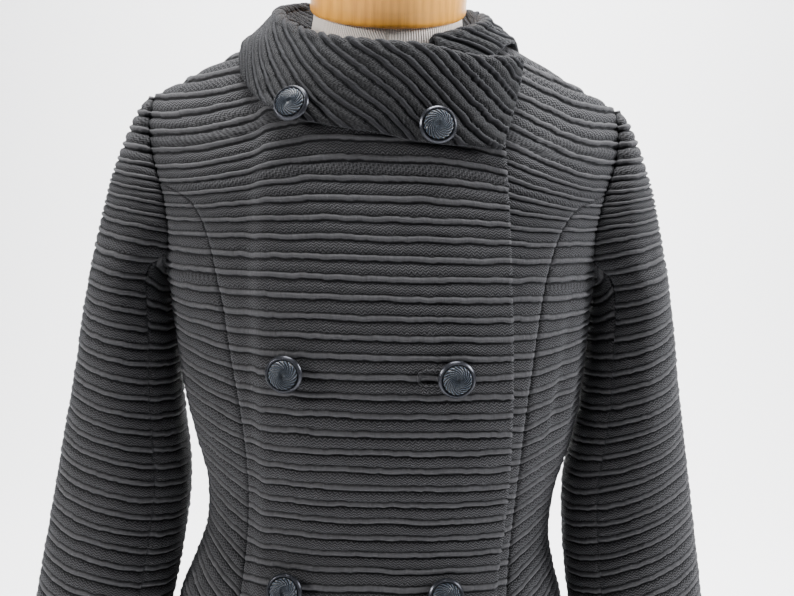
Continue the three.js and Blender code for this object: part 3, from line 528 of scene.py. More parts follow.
@dataclass(frozen=True)
class Weave:
    """The ribbed double cloth: a narrow smooth rib and a wide puffed band in each pitch, in mm."""

    pitch: float = 15.0
    origin: float = 385.0
    rib: float = 2.3
    band: float = 1.9
    groove: float = -0.6
    rows: int = 12
    rib_middle: float = 0.215
    rib_half: float = 0.165
    band_middle: float = 0.68
    band_half: float = 0.295
    wall: float = 2.5
    press: float = 0.35
    seam_width: float = 2.2
    valley: float = 0.5
    wander: float = 0.8
    crease_most: float = 4.0

    def drift(self, along: Array, level: Array, seed: int) -> Array:
        """How far the rows wander up and down along themselves.

        Args:
            along: Distance along the row.
            level: Level of the row.
            seed: Which piece.

        Returns:
            Distances up.
        """
        row = (level - self.origin) / self.pitch
        short = lattice(along / 4.6, np.round(row), seed)
        long = lattice(along / 19.0, row * 0.9, seed + 1)
        return self.wander * (0.75 * short + 0.9 * long)

    def height(self, level: Array, along: Array, seed: int) -> Array:
        """Height of the cloth's face over its plain skin.

        Args:
            level: Level with the drift added.
            along: Distance along the row.
            seed: Which piece.

        Returns:
            Heights in mm.
        """
        phase = np.mod((level - self.origin) / self.pitch, 1.0)
        rib = np.clip(1.0 - ((phase - self.rib_middle) / self.rib_half) ** 2, 0.0, 1.0) ** 0.7
        across = np.abs((phase - self.band_middle) / self.band_half)
        band = np.clip(1.0 - across ** 2.6, 0.0, 1.0) ** 0.75
        full = 1.0 + 0.16 * lattice(along / 14.0, level / self.pitch, seed + 2)
        pucker = 0.22 * lattice(along / 5.0, level / 40.0, seed + 3) * band
        raised = (self.rib - self.groove) * rib + (self.band - self.groove) * band
        return self.groove + full * raised + pucker


class MeshMaker:
    """Builds Blender meshes from arrays in mm and links them into the scene."""

    @staticmethod
    def finish(name: str, points: Array, quads: Sequence, triangles: Sequence, uv: Array) -> bpy.types.Object:
        """Make an object from points, faces and one UV a point.

        Args:
            name: Name of the piece.
            points: Points in mm.
            quads: Faces with four corners.
            triangles: Faces with three corners.
            uv: UV of each point, in m.

        Returns:
            The object, with its faces turned out.
        """
        mesh = bpy.data.meshes.new(name)
        faces = [tuple(q) for q in quads] + [tuple(t) for t in triangles]
        mesh.from_pydata((points * MM).tolist(), [], faces)
        layer = mesh.uv_layers.new(name="UVMap")
        corner = np.zeros(len(mesh.loops), np.int32)
        mesh.loops.foreach_get("vertex_index", corner)
        layer.data.foreach_set("uv", uv[corner].astype(np.float32).ravel())
        work = bmesh.new()
        work.from_mesh(mesh)
        bmesh.ops.recalc_face_normals(work, faces=work.faces)
        work.to_mesh(mesh)
        work.free()
        mesh.shade_smooth()
        piece = bpy.data.objects.new(name, mesh)
        bpy.context.scene.collection.objects.link(piece)
        return piece

    @classmethod
    def wall(cls, name: str, outer: Array, inner: Array, uv: Array,
             step: tuple[int, int]) -> bpy.types.Object:
        """A closed wall of cloth with a fine face, a sparse plain back and edges between them.

        Args:
            name: Name of the piece.
            outer: Grid of the face.
            inner: Grid of the back.
            uv: Grid of UV.
            step: Rows and columns of the face to each one of the back.

        Returns:
            The object.
        """
        rows, columns = outer.shape[:2]
        kept_rows = sorted(set(range(0, rows, step[0])) | {rows - 1})
        kept_columns = sorted(set(range(0, columns, step[1])) | {columns - 1})
        face = np.arange(rows * columns).reshape(rows, columns)
        back = rows * columns + np.arange(len(kept_rows) * len(kept_columns)).reshape(len(kept_rows), -1)
        picked = np.ix_(kept_rows, kept_columns)
        points = np.concatenate([outer.reshape(-1, 3), inner[picked].reshape(-1, 3)])
        spots = np.concatenate([uv.reshape(-1, 2), uv[picked].reshape(-1, 2)])
        quads: list = []
        for grid in (face, back[:, ::-1]):
            corners = (grid[:-1, :-1], grid[:-1, 1:], grid[1:, 1:], grid[1:, :-1])
            quads.extend(np.stack(corners, -1).reshape(-1, 4).tolist())
        triangles: list = []
        borders = (
            (face[:, 0], back[:, 0], kept_rows),
            (face[:, -1], back[:, -1], kept_rows),
            (face[0], back[0], kept_columns),
            (face[-1], back[-1], kept_columns),
        )
        for fine, coarse, kept in borders:
            for n in range(len(kept) - 1):
                half = (kept[n] + kept[n + 1] + 1) // 2
                for i in range(kept[n], kept[n + 1]):
                    triangles.append((fine[i], fine[i + 1], coarse[n] if i < half else coarse[n + 1]))
                triangles.append((coarse[n], fine[half], coarse[n + 1]))
        return cls.finish(name, points, quads, triangles, spots)

    @classmethod
    def loft(cls, name: str, rings: Array, uv_scale: float = 1.0) -> bpy.types.Object:
        """Closed rings one above another, with a lid at each end.

        Args:
            name: Name of the piece.
            rings: Rings by points by three, in mm.
            uv_scale: Scale of the UV over real metres.

        Returns:
            The object.
        """
        count, sides = rings.shape[:2]
        index = np.arange(count * sides).reshape(count, sides)
        following = np.roll(index, -1, axis=1)
        corners = (index[:-1], following[:-1], following[1:], index[1:])
        quads = np.stack(corners, -1).reshape(-1, 4).tolist()
        centres = rings[[0, -1]].mean(axis=1)
        points = np.concatenate([rings.reshape(-1, 3), centres])
        triangles = [(index[0, n], following[0, n], count * sides) for n in range(sides)]
        triangles += [(index[-1, n], following[-1, n], count * sides + 1) for n in range(sides)]
        turn = np.broadcast_to(np.arange(sides) / sides, (count, sides))
        around = turn * np.linalg.norm(np.roll(rings, -1, 1) - rings, axis=-1).sum(1, keepdims=True)
        uv = np.stack([around, rings[..., 2]], -1).reshape(-1, 2) * MM * uv_scale
        return cls.finish(name, points, quads, triangles, np.concatenate([uv, centres[:, :2] * MM]))

    @classmethod
    def lathe(cls, name: str, profile: Sequence[tuple[float, float]], sides: int,
              bend: float = 1.2) -> bpy.types.Object:
        """A turned solid with softened corners.

        Args:
            name: Name of the piece.
            profile: Radius and height pairs in mm, from the bottom up.
            sides: Sides round.
            bend: Radius of the softened corners.

        Returns:
            The object.
        """
        soft: list[tuple[float, float]] = []
        for n, (r, h) in enumerate(profile):
            here = np.array([r, h], float)
            if n in (0, len(profile) - 1):
                soft.append((r, h))
                continue
            before, after = np.array(profile[n - 1], float) - here, np.array(profile[n + 1], float) - here
            cut = min(bend, np.linalg.norm(before) * 0.45, np.linalg.norm(after) * 0.45)
            a = here + before / np.linalg.norm(before) * cut
            b = here + after / np.linalg.norm(after) * cut
            for t in (0.0, 0.25, 0.5, 0.75, 1.0):
                soft.append(tuple((1 - t) ** 2 * a + 2 * t * (1 - t) * here + t * t * b))
        turn = 2 * math.pi * np.arange(sides) / sides
        rings = [np.stack([max(r, 0.05) * np.cos(turn), max(r, 0.05) * np.sin(turn), np.full(sides, h)], -1)
                 for r, h in soft]
        return cls.loft(name, np.array(rings))


def hand_over(piece: bpy.types.Object, material: bpy.types.Material, slot: str,
              *nodes: str) -> bpy.types.Object:
    """Give a piece its finish and its place in the frame.

    Args:
        piece: The piece.
        material: Its finish.
        slot: The record's material slot; not used.
        nodes: CAD nodes that it stands for.

    Returns:
        The piece.
    """
    piece.data.materials.append(material)
    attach(piece, "root")
    if nodes:
        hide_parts(*nodes)
    LOG.info("%s: %d faces", piece.name, len(piece.data.polygons))
    return piece


@dataclass
class ClothPiece:
    """What every cut piece of cloth shares."""

    figure: Figure
    weave: Weave
    finish: bpy.types.Material
    creases: tuple[Crease, ...] = ()
    seed: int = 1

    def levels(self, low: float, high: float) -> Array:
        """Fine rows from one level to another.

        Args:
            low: Lowest level.
            high: Highest level.

        Returns:
            Rising levels.
        """
        step = self.weave.pitch / self.weave.rows
        count = max(int(round((high - low) / step)), 2)
        return np.linspace(low, high, count + 1)

    def face(self, name: str, skin: Array, normals: Array, level: Array, ends: tuple[float, float],
             cover: Array | float = 1.0, step: tuple[int, int] = (12, 4)) -> bpy.types.Object:
        """Raise the ribs on a grid of the skin and close it to a wall.

        Args:
            name: Name of the piece and of the CAD node it stands for.
            skin: Grid of points in mm.
            normals: Directions out.
            level: Level of each row, as a column.
            ends: How much of the ribs is left at the first and the last column.
            cover: Share of the ribs' height by place.
            step: Rows and columns of the face to each one of the back.

        Returns:
            The declared sheet.
        """
        weave = self.weave
        gaps = np.linalg.norm(np.diff(skin, axis=1), axis=-1)
        along = np.concatenate([np.zeros((len(skin), 1)), np.cumsum(gaps, 1)], 1)
        total = along[:, -1:]
        middle = along - total / 2
        moved = level + weave.drift(middle, level, self.seed)
        rise = weave.height(moved, middle, self.seed)
        first = np.exp(-((along / weave.seam_width) ** 2))
        last = np.exp(-(((total - along) / weave.seam_width) ** 2))
        rise = rise * (1 - (1 - ends[0]) * first) * (1 - (1 - ends[1]) * last)
        rise = rise - weave.valley * ((ends[0] < 1) * first + (ends[1] < 1) * last) * 0.8
        rise = rise * cover
        inward = sum((crease.press(skin) for crease in self.creases), np.zeros(skin.shape[:2]))
        shift = np.minimum(inward, weave.crease_most)
        outer = skin + normals * (rise - shift)[..., None]
        inner = skin - normals * (weave.wall + shift)[..., None]
        outer[..., 2] = np.maximum(outer[..., 2], self.figure.hem)
        inner[..., 2] = np.maximum(inner[..., 2], self.figure.hem)
        uv = np.stack([middle, np.broadcast_to(moved, middle.shape)], -1) * MM
        piece = MeshMaker.wall(name + "_cloth", outer, inner, uv, step)
        hand_over(piece, self.finish, "jacket_cloth", name)
        self.declare(piece, skin, along)
        return piece

    @staticmethod
    def declare(piece: bpy.types.Object, skin: Array, along: Array) -> None:
        """State the flat cut of a piece from its plain skin.

        Args:
            piece: The piece.
            skin: Grid of its points in mm.
            along: Distance along each row in mm.
        """
        a = skin[1:, :-1] - skin[:-1, :-1]
        b = skin[:-1, 1:] - skin[:-1, :-1]
        c = skin[1:, :-1] - skin[1:, 1:]
        d = skin[:-1, 1:] - skin[1:, 1:]
        area = (np.linalg.norm(np.cross(a, b), axis=-1) + np.linalg.norm(np.cross(c, d), axis=-1)).sum() / 2
        width = float(along[:, -1].max())
        rise = np.linalg.norm(np.diff(skin, axis=0), axis=-1).sum(0)
        length = float(max(rise.max(), area / width))
        area = min(float(area), width * length)
        LOG.info("%s: cut %.0f by %.0f mm, %.0f square cm", piece.name, width, length, area / 100)


class BodyPanel(ClothPiece):
    """A panel of the body, laid out in rows that follow the ribs."""

    def grid(self, level: Array, start: Array, end: Array, columns: int, side: int,
             height: Callable[[Array, Array], Array]) -> tuple[Array, Array, Array, Array]:
        """Points of the skin between two edges.

        Args:
            level: Levels as a column.
            start: Where each row starts, as a column.
            end: Where each row ends, as a column.
            columns: Columns between.
            side: -1 in front and 1 behind.
            height: Height of a row by place.

        Returns:
            X, y, z and normals.
        """
        fig = self.figure
        power = fig.squareness / 2

        def turn_of(x: Array, half: Array) -> Array:
            """Angle of a place on the skin's ring.

            Args:
                x: Distances from the middle.
                half: Half widths of the ring.

            Returns:
                Angles.
            """
            return np.arcsin(np.clip(np.abs(x) / half, 0, 1) ** power) * np.sign(x)

        def reach_of(turn: Array, half: Array) -> Array:
            """Place of an angle on the skin's ring.

            Args:
                turn: Angles.
                half: Half widths of the ring.

            Returns:
                Distances from the middle.
            """
            return half * np.abs(np.sin(turn)) ** (1 / power) * np.sign(turn)

        a = turn_of(start, fig.at_half(height(level, start)))
        b = turn_of(end, fig.at_half(height(level, end)))
        share = np.linspace(0.0, 1.0, columns + 1)[None, :]
        even = start + (end - start) * share
        x = even
        for _ in range(5):
            x = 0.5 * even + 0.5 * reach_of(a + (b - a) * share, fig.at_half(height(level, x)))
        x[:, :1], x[:, -1:] = start, end
        z = np.maximum(fig.hem, height(level, x))
        return x, fig.skin(x, z, side), z, fig.normal(x, z, side)

    def close_shoulder(self, y: Array, z: Array, side: int) -> None:
        """Bring an edge onto the shoulder line, a hair from its neighbour.

        Args:
            y: Y along the edge, changed in place.
            z: Heights along the edge.
            side: -1 in front and 1 behind.
        """
        y[z > self.figure.shoulder_z] = side * 0.15

    def place(self, hand: int, x: Array, y: Array, z: Array, normals: Array,
              lift: Array) -> tuple[Array, Array]:
        """Turn own-side coordinates into world ones.

        Args:
            hand: Sign of X.
            x: Distances from the middle.
            y: Y.
            z: Heights.
            normals: Directions out.
            lift: Distance out that the whole wall is moved.

        Returns:
            Points and normals.
        """
        moved = normals * np.asarray(lift)[..., None]
        own = x + moved[..., 0]
        points = np.stack([hand * own + self.figure.at_sway(z), y + moved[..., 1], z + moved[..., 2]], -1)
        out = normals.copy()
        out[..., 0] *= hand
        return points, out


@dataclass
class FrontPanel(BodyPanel):
    """A front, from its edge to the princess seam, the armhole and the shoulder."""

    hand: Hand = Hand.RIGHT
    short: float = 0.0
    top_layer: bool = True
    columns: int = 72
    steeper: float = 0.0

    def build(self) -> bpy.types.Object:
        """Build the front.

        Returns:
            The sheet.
        """
        fig = self.figure
        level = self.levels(fig.hem, fig.neck_z - 1.5 + fig.neck_fall())[:, None]
        edge = lambda z: fig.front_inner(z) + self.short * (1 - smooth(z, fig.neckline, 985.0))
        start = fig.meet(level, edge, -130.0, 130.0)
        end = fig.meet(level, fig.princess_edge, *fig.seam_span) - fig.seam_half
        x, y, z, normals = self.grid(level, start, end, self.columns, -1, fig.rib_height)
        self.close_shoulder(y[:, -1], z[:, -1], -1)
        lift = fig.overlap(x, z) if self.top_layer else np.zeros_like(x)
        points, out = self.place(self.hand.value, x, y, z, normals, lift)
        cover = 1.0 if self.top_layer else smooth(x, 55.0, 75.0)
        pattern = level + self.steeper * smooth(level, *fig.fall_levels) * smooth(x, 70.0, 185.0)
        return self.face(f"front_{self.hand.word}", points, out, pattern, (1.0, self.weave.press), cover)


@dataclass
class SidePanel(BodyPanel):
    """A panel between the princess seam and the side seam."""

    hand: Hand = Hand.RIGHT
    side: Side = Side.FRONT
    columns: int = 26
    first_row: float = 3.0
    top_level: float = 925.0

    def build(self) -> bpy.types.Object:
        """Build the side panel.

        Returns:
            The sheet.
        """
        fig = self.figure
        climbed = float(fig.rib_height(np.array(fig.hem), fig.at_half(np.array(fig.hem)))) - fig.hem
        level = self.levels(fig.hem - climbed + self.first_row, self.top_level)[:, None]
        start = fig.meet(level, fig.princess_edge, *fig.seam_span) + fig.seam_half
        start = start + 0.24 * smooth(level, 895.0, self.top_level)
        end = fig.meet(level, fig.outer_edge, 100.0, 230.0) - fig.seam_half
        under = fig.rib_height(level, start) < fig.hem
        climb = bisect(lambda x: fig.rib_height(level, x) <= fig.hem, start, end)
        start = np.where(under, climb, start)
        x, y, z, normals = self.grid(level, start, end, self.columns, self.side.value, fig.rib_height)
        points, out = self.place(self.hand.value, x, y, z, normals, np.zeros_like(x))
        name = f"side_{self.side.name.lower()}_{self.hand.word}"
        ends = (self.weave.press, self.weave.press)
        return self.face(name, points, out, level, ends, step=(12, 5))


@dataclass
class BackPanel(BodyPanel):
    """The back, cut on the fold."""

    columns: int = 104

    def build(self) -> bpy.types.Object:
        """Build the back.

        Returns:
            The sheet.
        """
        fig = self.figure
        plain_from, middle_z = 985.0, 1031.0
        top_z = fig.neck_z - 1.5
        highest = np.array([[top_z + fig.neck_fall()]])
        level = self.levels(fig.hem, top_z + fig.neck_fall())[:, None]

        def height(row: Array, x: Array) -> Array:
            """Height of a row, closed up under the back neck.

            Args:
                row: Levels.
                x: Distances from the middle.

            Returns:
                Heights.
            """
            plain = fig.rib_height(row, x)
            low = fig.rib_height(np.full_like(row, plain_from), x)
            top = fig.rib_height(np.broadcast_to(highest, row.shape), x)
            neck = middle_z + (top_z - middle_z) * smooth(np.abs(x), 0.0, fig.neck_x)
            closed = low + (plain - low) * np.minimum(1.0, (neck - low) / (top - low))
            return np.where(row <= plain_from, plain, closed)

        reach = fig.meet(level, fig.princess_edge, *fig.seam_span) - fig.seam_half
        x, y, z, normals = self.grid(level, -reach, reach, self.columns, 1, height)
        for edge in (0, -1):
            self.close_shoulder(y[:, edge], z[:, edge], 1)
        points, out = self.place(1, x, y, z, normals, np.zeros_like(x))
        points[..., 1] = np.maximum(points[..., 1], 0.2)
        return self.face("back", points, out, level, (self.weave.press, self.weave.press))


@dataclass
class SleevePiece(ClothPiece):
    """What both pieces of a two-piece sleeve share. Angles are 0 on the outer line."""

    hand: Hand = Hand.RIGHT
    tilt: float = 0.158
    top_z: float = 977.0
    horn_from: float = 755.0
    horn_top: float = 900.0
    spare: float = 1.4
    radius: float = 60.0
    climb_left: float = 0.26
    climb_right: float = 0.08
    outline: tuple[Reach, ...] = (
        Reach(330, 324), Reach(385, 317), Reach(500, 304), Reach(557, 295), Reach(592, 289.5),
        Reach(651, 280), Reach(710, 270), Reach(745, 264), Reach(788, 258), Reach(838, 249),
        Reach(876, 241), Reach(905, 234), Reach(930, 226), Reach(957, 215), Reach(970, 208.5),
        Reach(980, 203),
    )
    rings: tuple[Ring, ...] = (
        Ring(330, 218, 0, 50, -26, 0.5), Ring(385, 209, 0, 51, -23, 0.5), Ring(500, 188, 0, 54, -12, 0.5),
        Ring(555, 178, 1, 57, -8, 0.5), Ring(608, 172, 3, 60, -5, 0.5), Ring(640, 171, 4, 62, -4, 0.5),
        Ring(656, 172, 4.5, 63, -3, 0.5), Ring(690, 178, 6, 65, -2, 0.5), Ring(720, 183, 7, 67, -1, 0.5),
        Ring(765, 186, 6.5, 68, 0, 0.5), Ring(811, 188, 2.5, 68, 0, 0.5), Ring(830, 185.5, 0, 68, 0, 0.5),
        Ring(850, 179, 0, 67.5, 0, 0.45), Ring(870, 178, 0, 66, 0, 0.42), Ring(893, 182, 0, 61, 0, 0.38),
        Ring(909, 188, 0, 56, 0, 0.36), Ring(931, 197, 0, 44, 0, 0.34), Ring(953, 201, 0, 30, 0, 0.32),
        Ring(970, 200.6, 0, 17, 0, 0.3), Ring(978, 200, 0, 7, 0, 0.3),
    )
    seam: tuple[Reach, ...] = (
        Reach(330, 128), Reach(700, 128), Reach(800, 131), Reach(870, 136), Reach(980, 152),
    )

    def __post_init__(self) -> None:
        """Turn the tables into curves once."""
        self.at_outline = tracks(self.outline)["x"]
        self.at = tracks(self.rings)
        self.at_seam = tracks(self.seam)["x"]

    def armhole_end(self, z: Array, side: int) -> tuple[Array, Array]:
        """Edge of the armhole on the sleeve's side of the seam.

        Args:
            z: Heights inside the arm.
            side: -1 in front and 1 behind.

        Returns:
            X and y.
        """
        fig = self.figure
        spare = 0.1 + self.spare * (1 - smooth(z, fig.underarm, fig.underarm + 15.0))
        x = fig.straight(fig.armhole, z) + spare
        return x, fig.skin(np.minimum(x, fig.at_half(z)), z, side)

    def open_turn(self, z: Array, side: int) -> Array:
        """Angle at which a ring opens onto the armhole.

        Args:
            z: Heights inside the arm.
            side: -1 in front and 1 behind.

        Returns:
            Angles.
        """
        y = self.armhole_end(z, side)[1]
        turn = np.pi - np.arcsin(np.minimum(1.0, np.abs(y) / self.at["depth"](z)))
        return np.where(z <= self.figure.underarm, np.pi, turn)

    def inner_line(self, z: Array) -> Array:
        """The sleeve's line nearest to the body.

        Args:
            z: Heights inside the arm.

        Returns:
            Distances from the middle.
        """
        return self.at["inner"](z) - (self.at["near"](z) if self.hand is Hand.RIGHT else 0.0)

    def pattern(self, level: Array, z: Array, x: Array) -> Array:
        """Levels of the ribs, which climb towards the outer line below the cap.

        Args:
            level: Levels of the rows.
            z: Heights inside the arm.
            x: Distances from the middle.

        Returns:
            Levels by place.
        """
        climb = self.climb_left if self.hand is Hand.LEFT else self.climb_right
        return level - climb * (1 - smooth(z, 760.0, 905.0)) * (x - self.inner_line(z))

    def seam_turn(self, z: Array) -> Array:
        """Angle of the seam between the two pieces.

        Args:
            z: Heights inside the arm.

        Returns:
            Angles.
        """
        return np.radians(self.at_seam(z))

    def slack(self, z: Array) -> Array:
        """Half the gap at the seam as an angle.

        Args:
            z: Heights inside the arm.

        Returns:
            Angles.
        """
        return 0.4 * (0.5 + 2 * smooth(z, self.horn_from, self.figure.underarm)) / self.radius

    def point(self, z: Array, turn: Array) -> Array:
        """A point of the sleeve's skin.

        Args:
            z: Heights inside the arm.
            turn: Angles, growing towards the front.

        Returns:
            Points on the wearer's left.
        """
        ends = [self.armhole_end(z, side) for side in (-1, 1)]
        ahead = np.sin(turn) > 0
        high = z > self.figure.underarm
        end_x = np.where(high, np.where(ahead, ends[0][0], ends[1][0]), self.inner_line(z))
        end_y = np.where(high, np.where(ahead, ends[0][1], ends[1][1]), 0.0)
        depth = self.at["depth"](z)
        wide = self.at_outline(z) - end_x
        outer = self.at_outline(z + self.tilt * wide)
        centre = end_x + (outer - end_x) * self.at["lean"](z)
        gap = np.minimum(np.abs(end_y) / depth, 0.98)
        near = (centre - end_x) / np.sqrt(1 - gap * gap)
        x = centre + np.where(np.cos(turn) > 0, outer - centre, near) * np.cos(turn)
        y = self.at["middle"](z) - depth * np.sin(turn)
        return np.stack([x, y, z + self.tilt * (x - end_x)], -1)

    def normal(self, z: Array, turn: Array) -> Array:
        """Direction out of the sleeve.

        Args:
            z: Heights inside the arm.
            turn: Angles.

        Returns:
            Unit vectors.
        """
        low, high = np.maximum(self.figure.hem, z - 1), np.minimum(self.top_z, z + 1)
        up = self.point(high, turn) - self.point(low, turn)
        round_it = self.point(z, turn + 0.02) - self.point(z, turn - 0.02)
        out = np.cross(up, round_it)
        return out / np.linalg.norm(out, axis=-1, keepdims=True)

    def rows(self, highest: float) -> tuple[Array, Array]:
        """Levels of the ribs and the heights they have in the arm.

        Args:
            highest: Height of the last row.

        Returns:
            Levels and heights, as columns.
        """
        fig = self.figure
        height = lambda level: level - fig.fall * smooth(level, *fig.fall_levels)
        top = bisect(lambda level: height(level) < highest, np.array(400.0), np.array(1100.0))
        level = self.levels(fig.hem, float(top))[:, None]
        return level, height(level)

    def raise_face(self, name: str, level: Array, z: Array, turn: Array, cover: Array | float,
                   ends: tuple[float, float]) -> bpy.types.Object:
        """Raise the ribs over the arm's skin.

        Args:
            name: Name of the CAD node.
            level: Levels of the ribs.
            z: Heights inside the arm.
            turn: Angles.
            cover: Share of the ribs' height.
            ends: Share of the ribs left at the seams.

        Returns:
            The sheet.
        """
        points, out = self.point(z, turn), self.normal(z, turn)
        level = self.pattern(level, z, points[..., 0])
        points[..., 0] *= self.hand.value
        out[..., 0] *= self.hand.value
        return self.face(name, points, out, level, ends, cover)


@dataclass
class TopSleeve(SleevePiece):
    """The outer piece of the sleeve, up to the top of the cap."""

    columns: int = 84

    def build(self) -> bpy.types.Object:
        """Build the top sleeve.

        Returns:
            The sheet.
        """
        level, z = self.rows(self.top_z)
        seam = self.seam_turn(z) - self.slack(z)
        start = -np.minimum(self.open_turn(z, 1), seam)
        end = np.minimum(self.open_turn(z, -1), seam)
        turn = start + (end - start) * np.linspace(0, 1, self.columns + 1)[None, :]
        z = np.broadcast_to(z, turn.shape)
        press = self.weave.press
        cover = 1 - 0.8 * smooth(z, 962.0, 976.0)
        return self.raise_face(f"top_sleeve_{self.hand.word}", level, z, turn, cover, (press, press))


@dataclass
class UnderSleeve(SleevePiece):
    """The inner piece of the sleeve. Its last rows bend up into the armhole's curve."""

    columns: int = 44

    def build(self) -> bpy.types.Object:
        """Build the under sleeve.

        Returns:
            The sheet.
        """
        fig = self.figure
        level, height = self.rows(fig.underarm - 0.5)
        share = np.linspace(0, 1, self.columns + 1)[None, :]
        bend = smooth(height, self.horn_from, fig.underarm)
        away = np.abs(share - 0.5) * 2
        parts = []
        for side in (-1, 1):
            tops = bisect(lambda z: self.open_turn(z, side) > self.seam_turn(z), np.array(fig.underarm),
                          np.array(self.horn_top))
            edge_z = height + (tops - fig.underarm) * bend
            edge = self.seam_turn(edge_z) + self.slack(edge_z)
            turn = np.pi - away * (np.pi - edge)
            last = np.pi - away * (np.pi - self.seam_turn(tops))
            horn = bisect(lambda z: self.open_turn(z, side) > last, np.full_like(last, fig.underarm),
                          np.full_like(last, self.horn_top))
            rise = np.where(away == 0, 0.0, horn - fig.underarm)
            parts.append((height + rise * bend - 0.01, turn if side < 0 else 2 * np.pi - turn))
        ahead = share < 0.5
        z = np.where(ahead, parts[0][0], parts[1][0])
        turn = np.where(ahead, parts[0][1], parts[1][1])
        cover = 1 - 0.7 * smooth(height, 785.0, self.figure.underarm)
        press = self.weave.press
        return self.raise_face(f"under_sleeve_{self.hand.word}", level, z, turn, cover, (press, press))


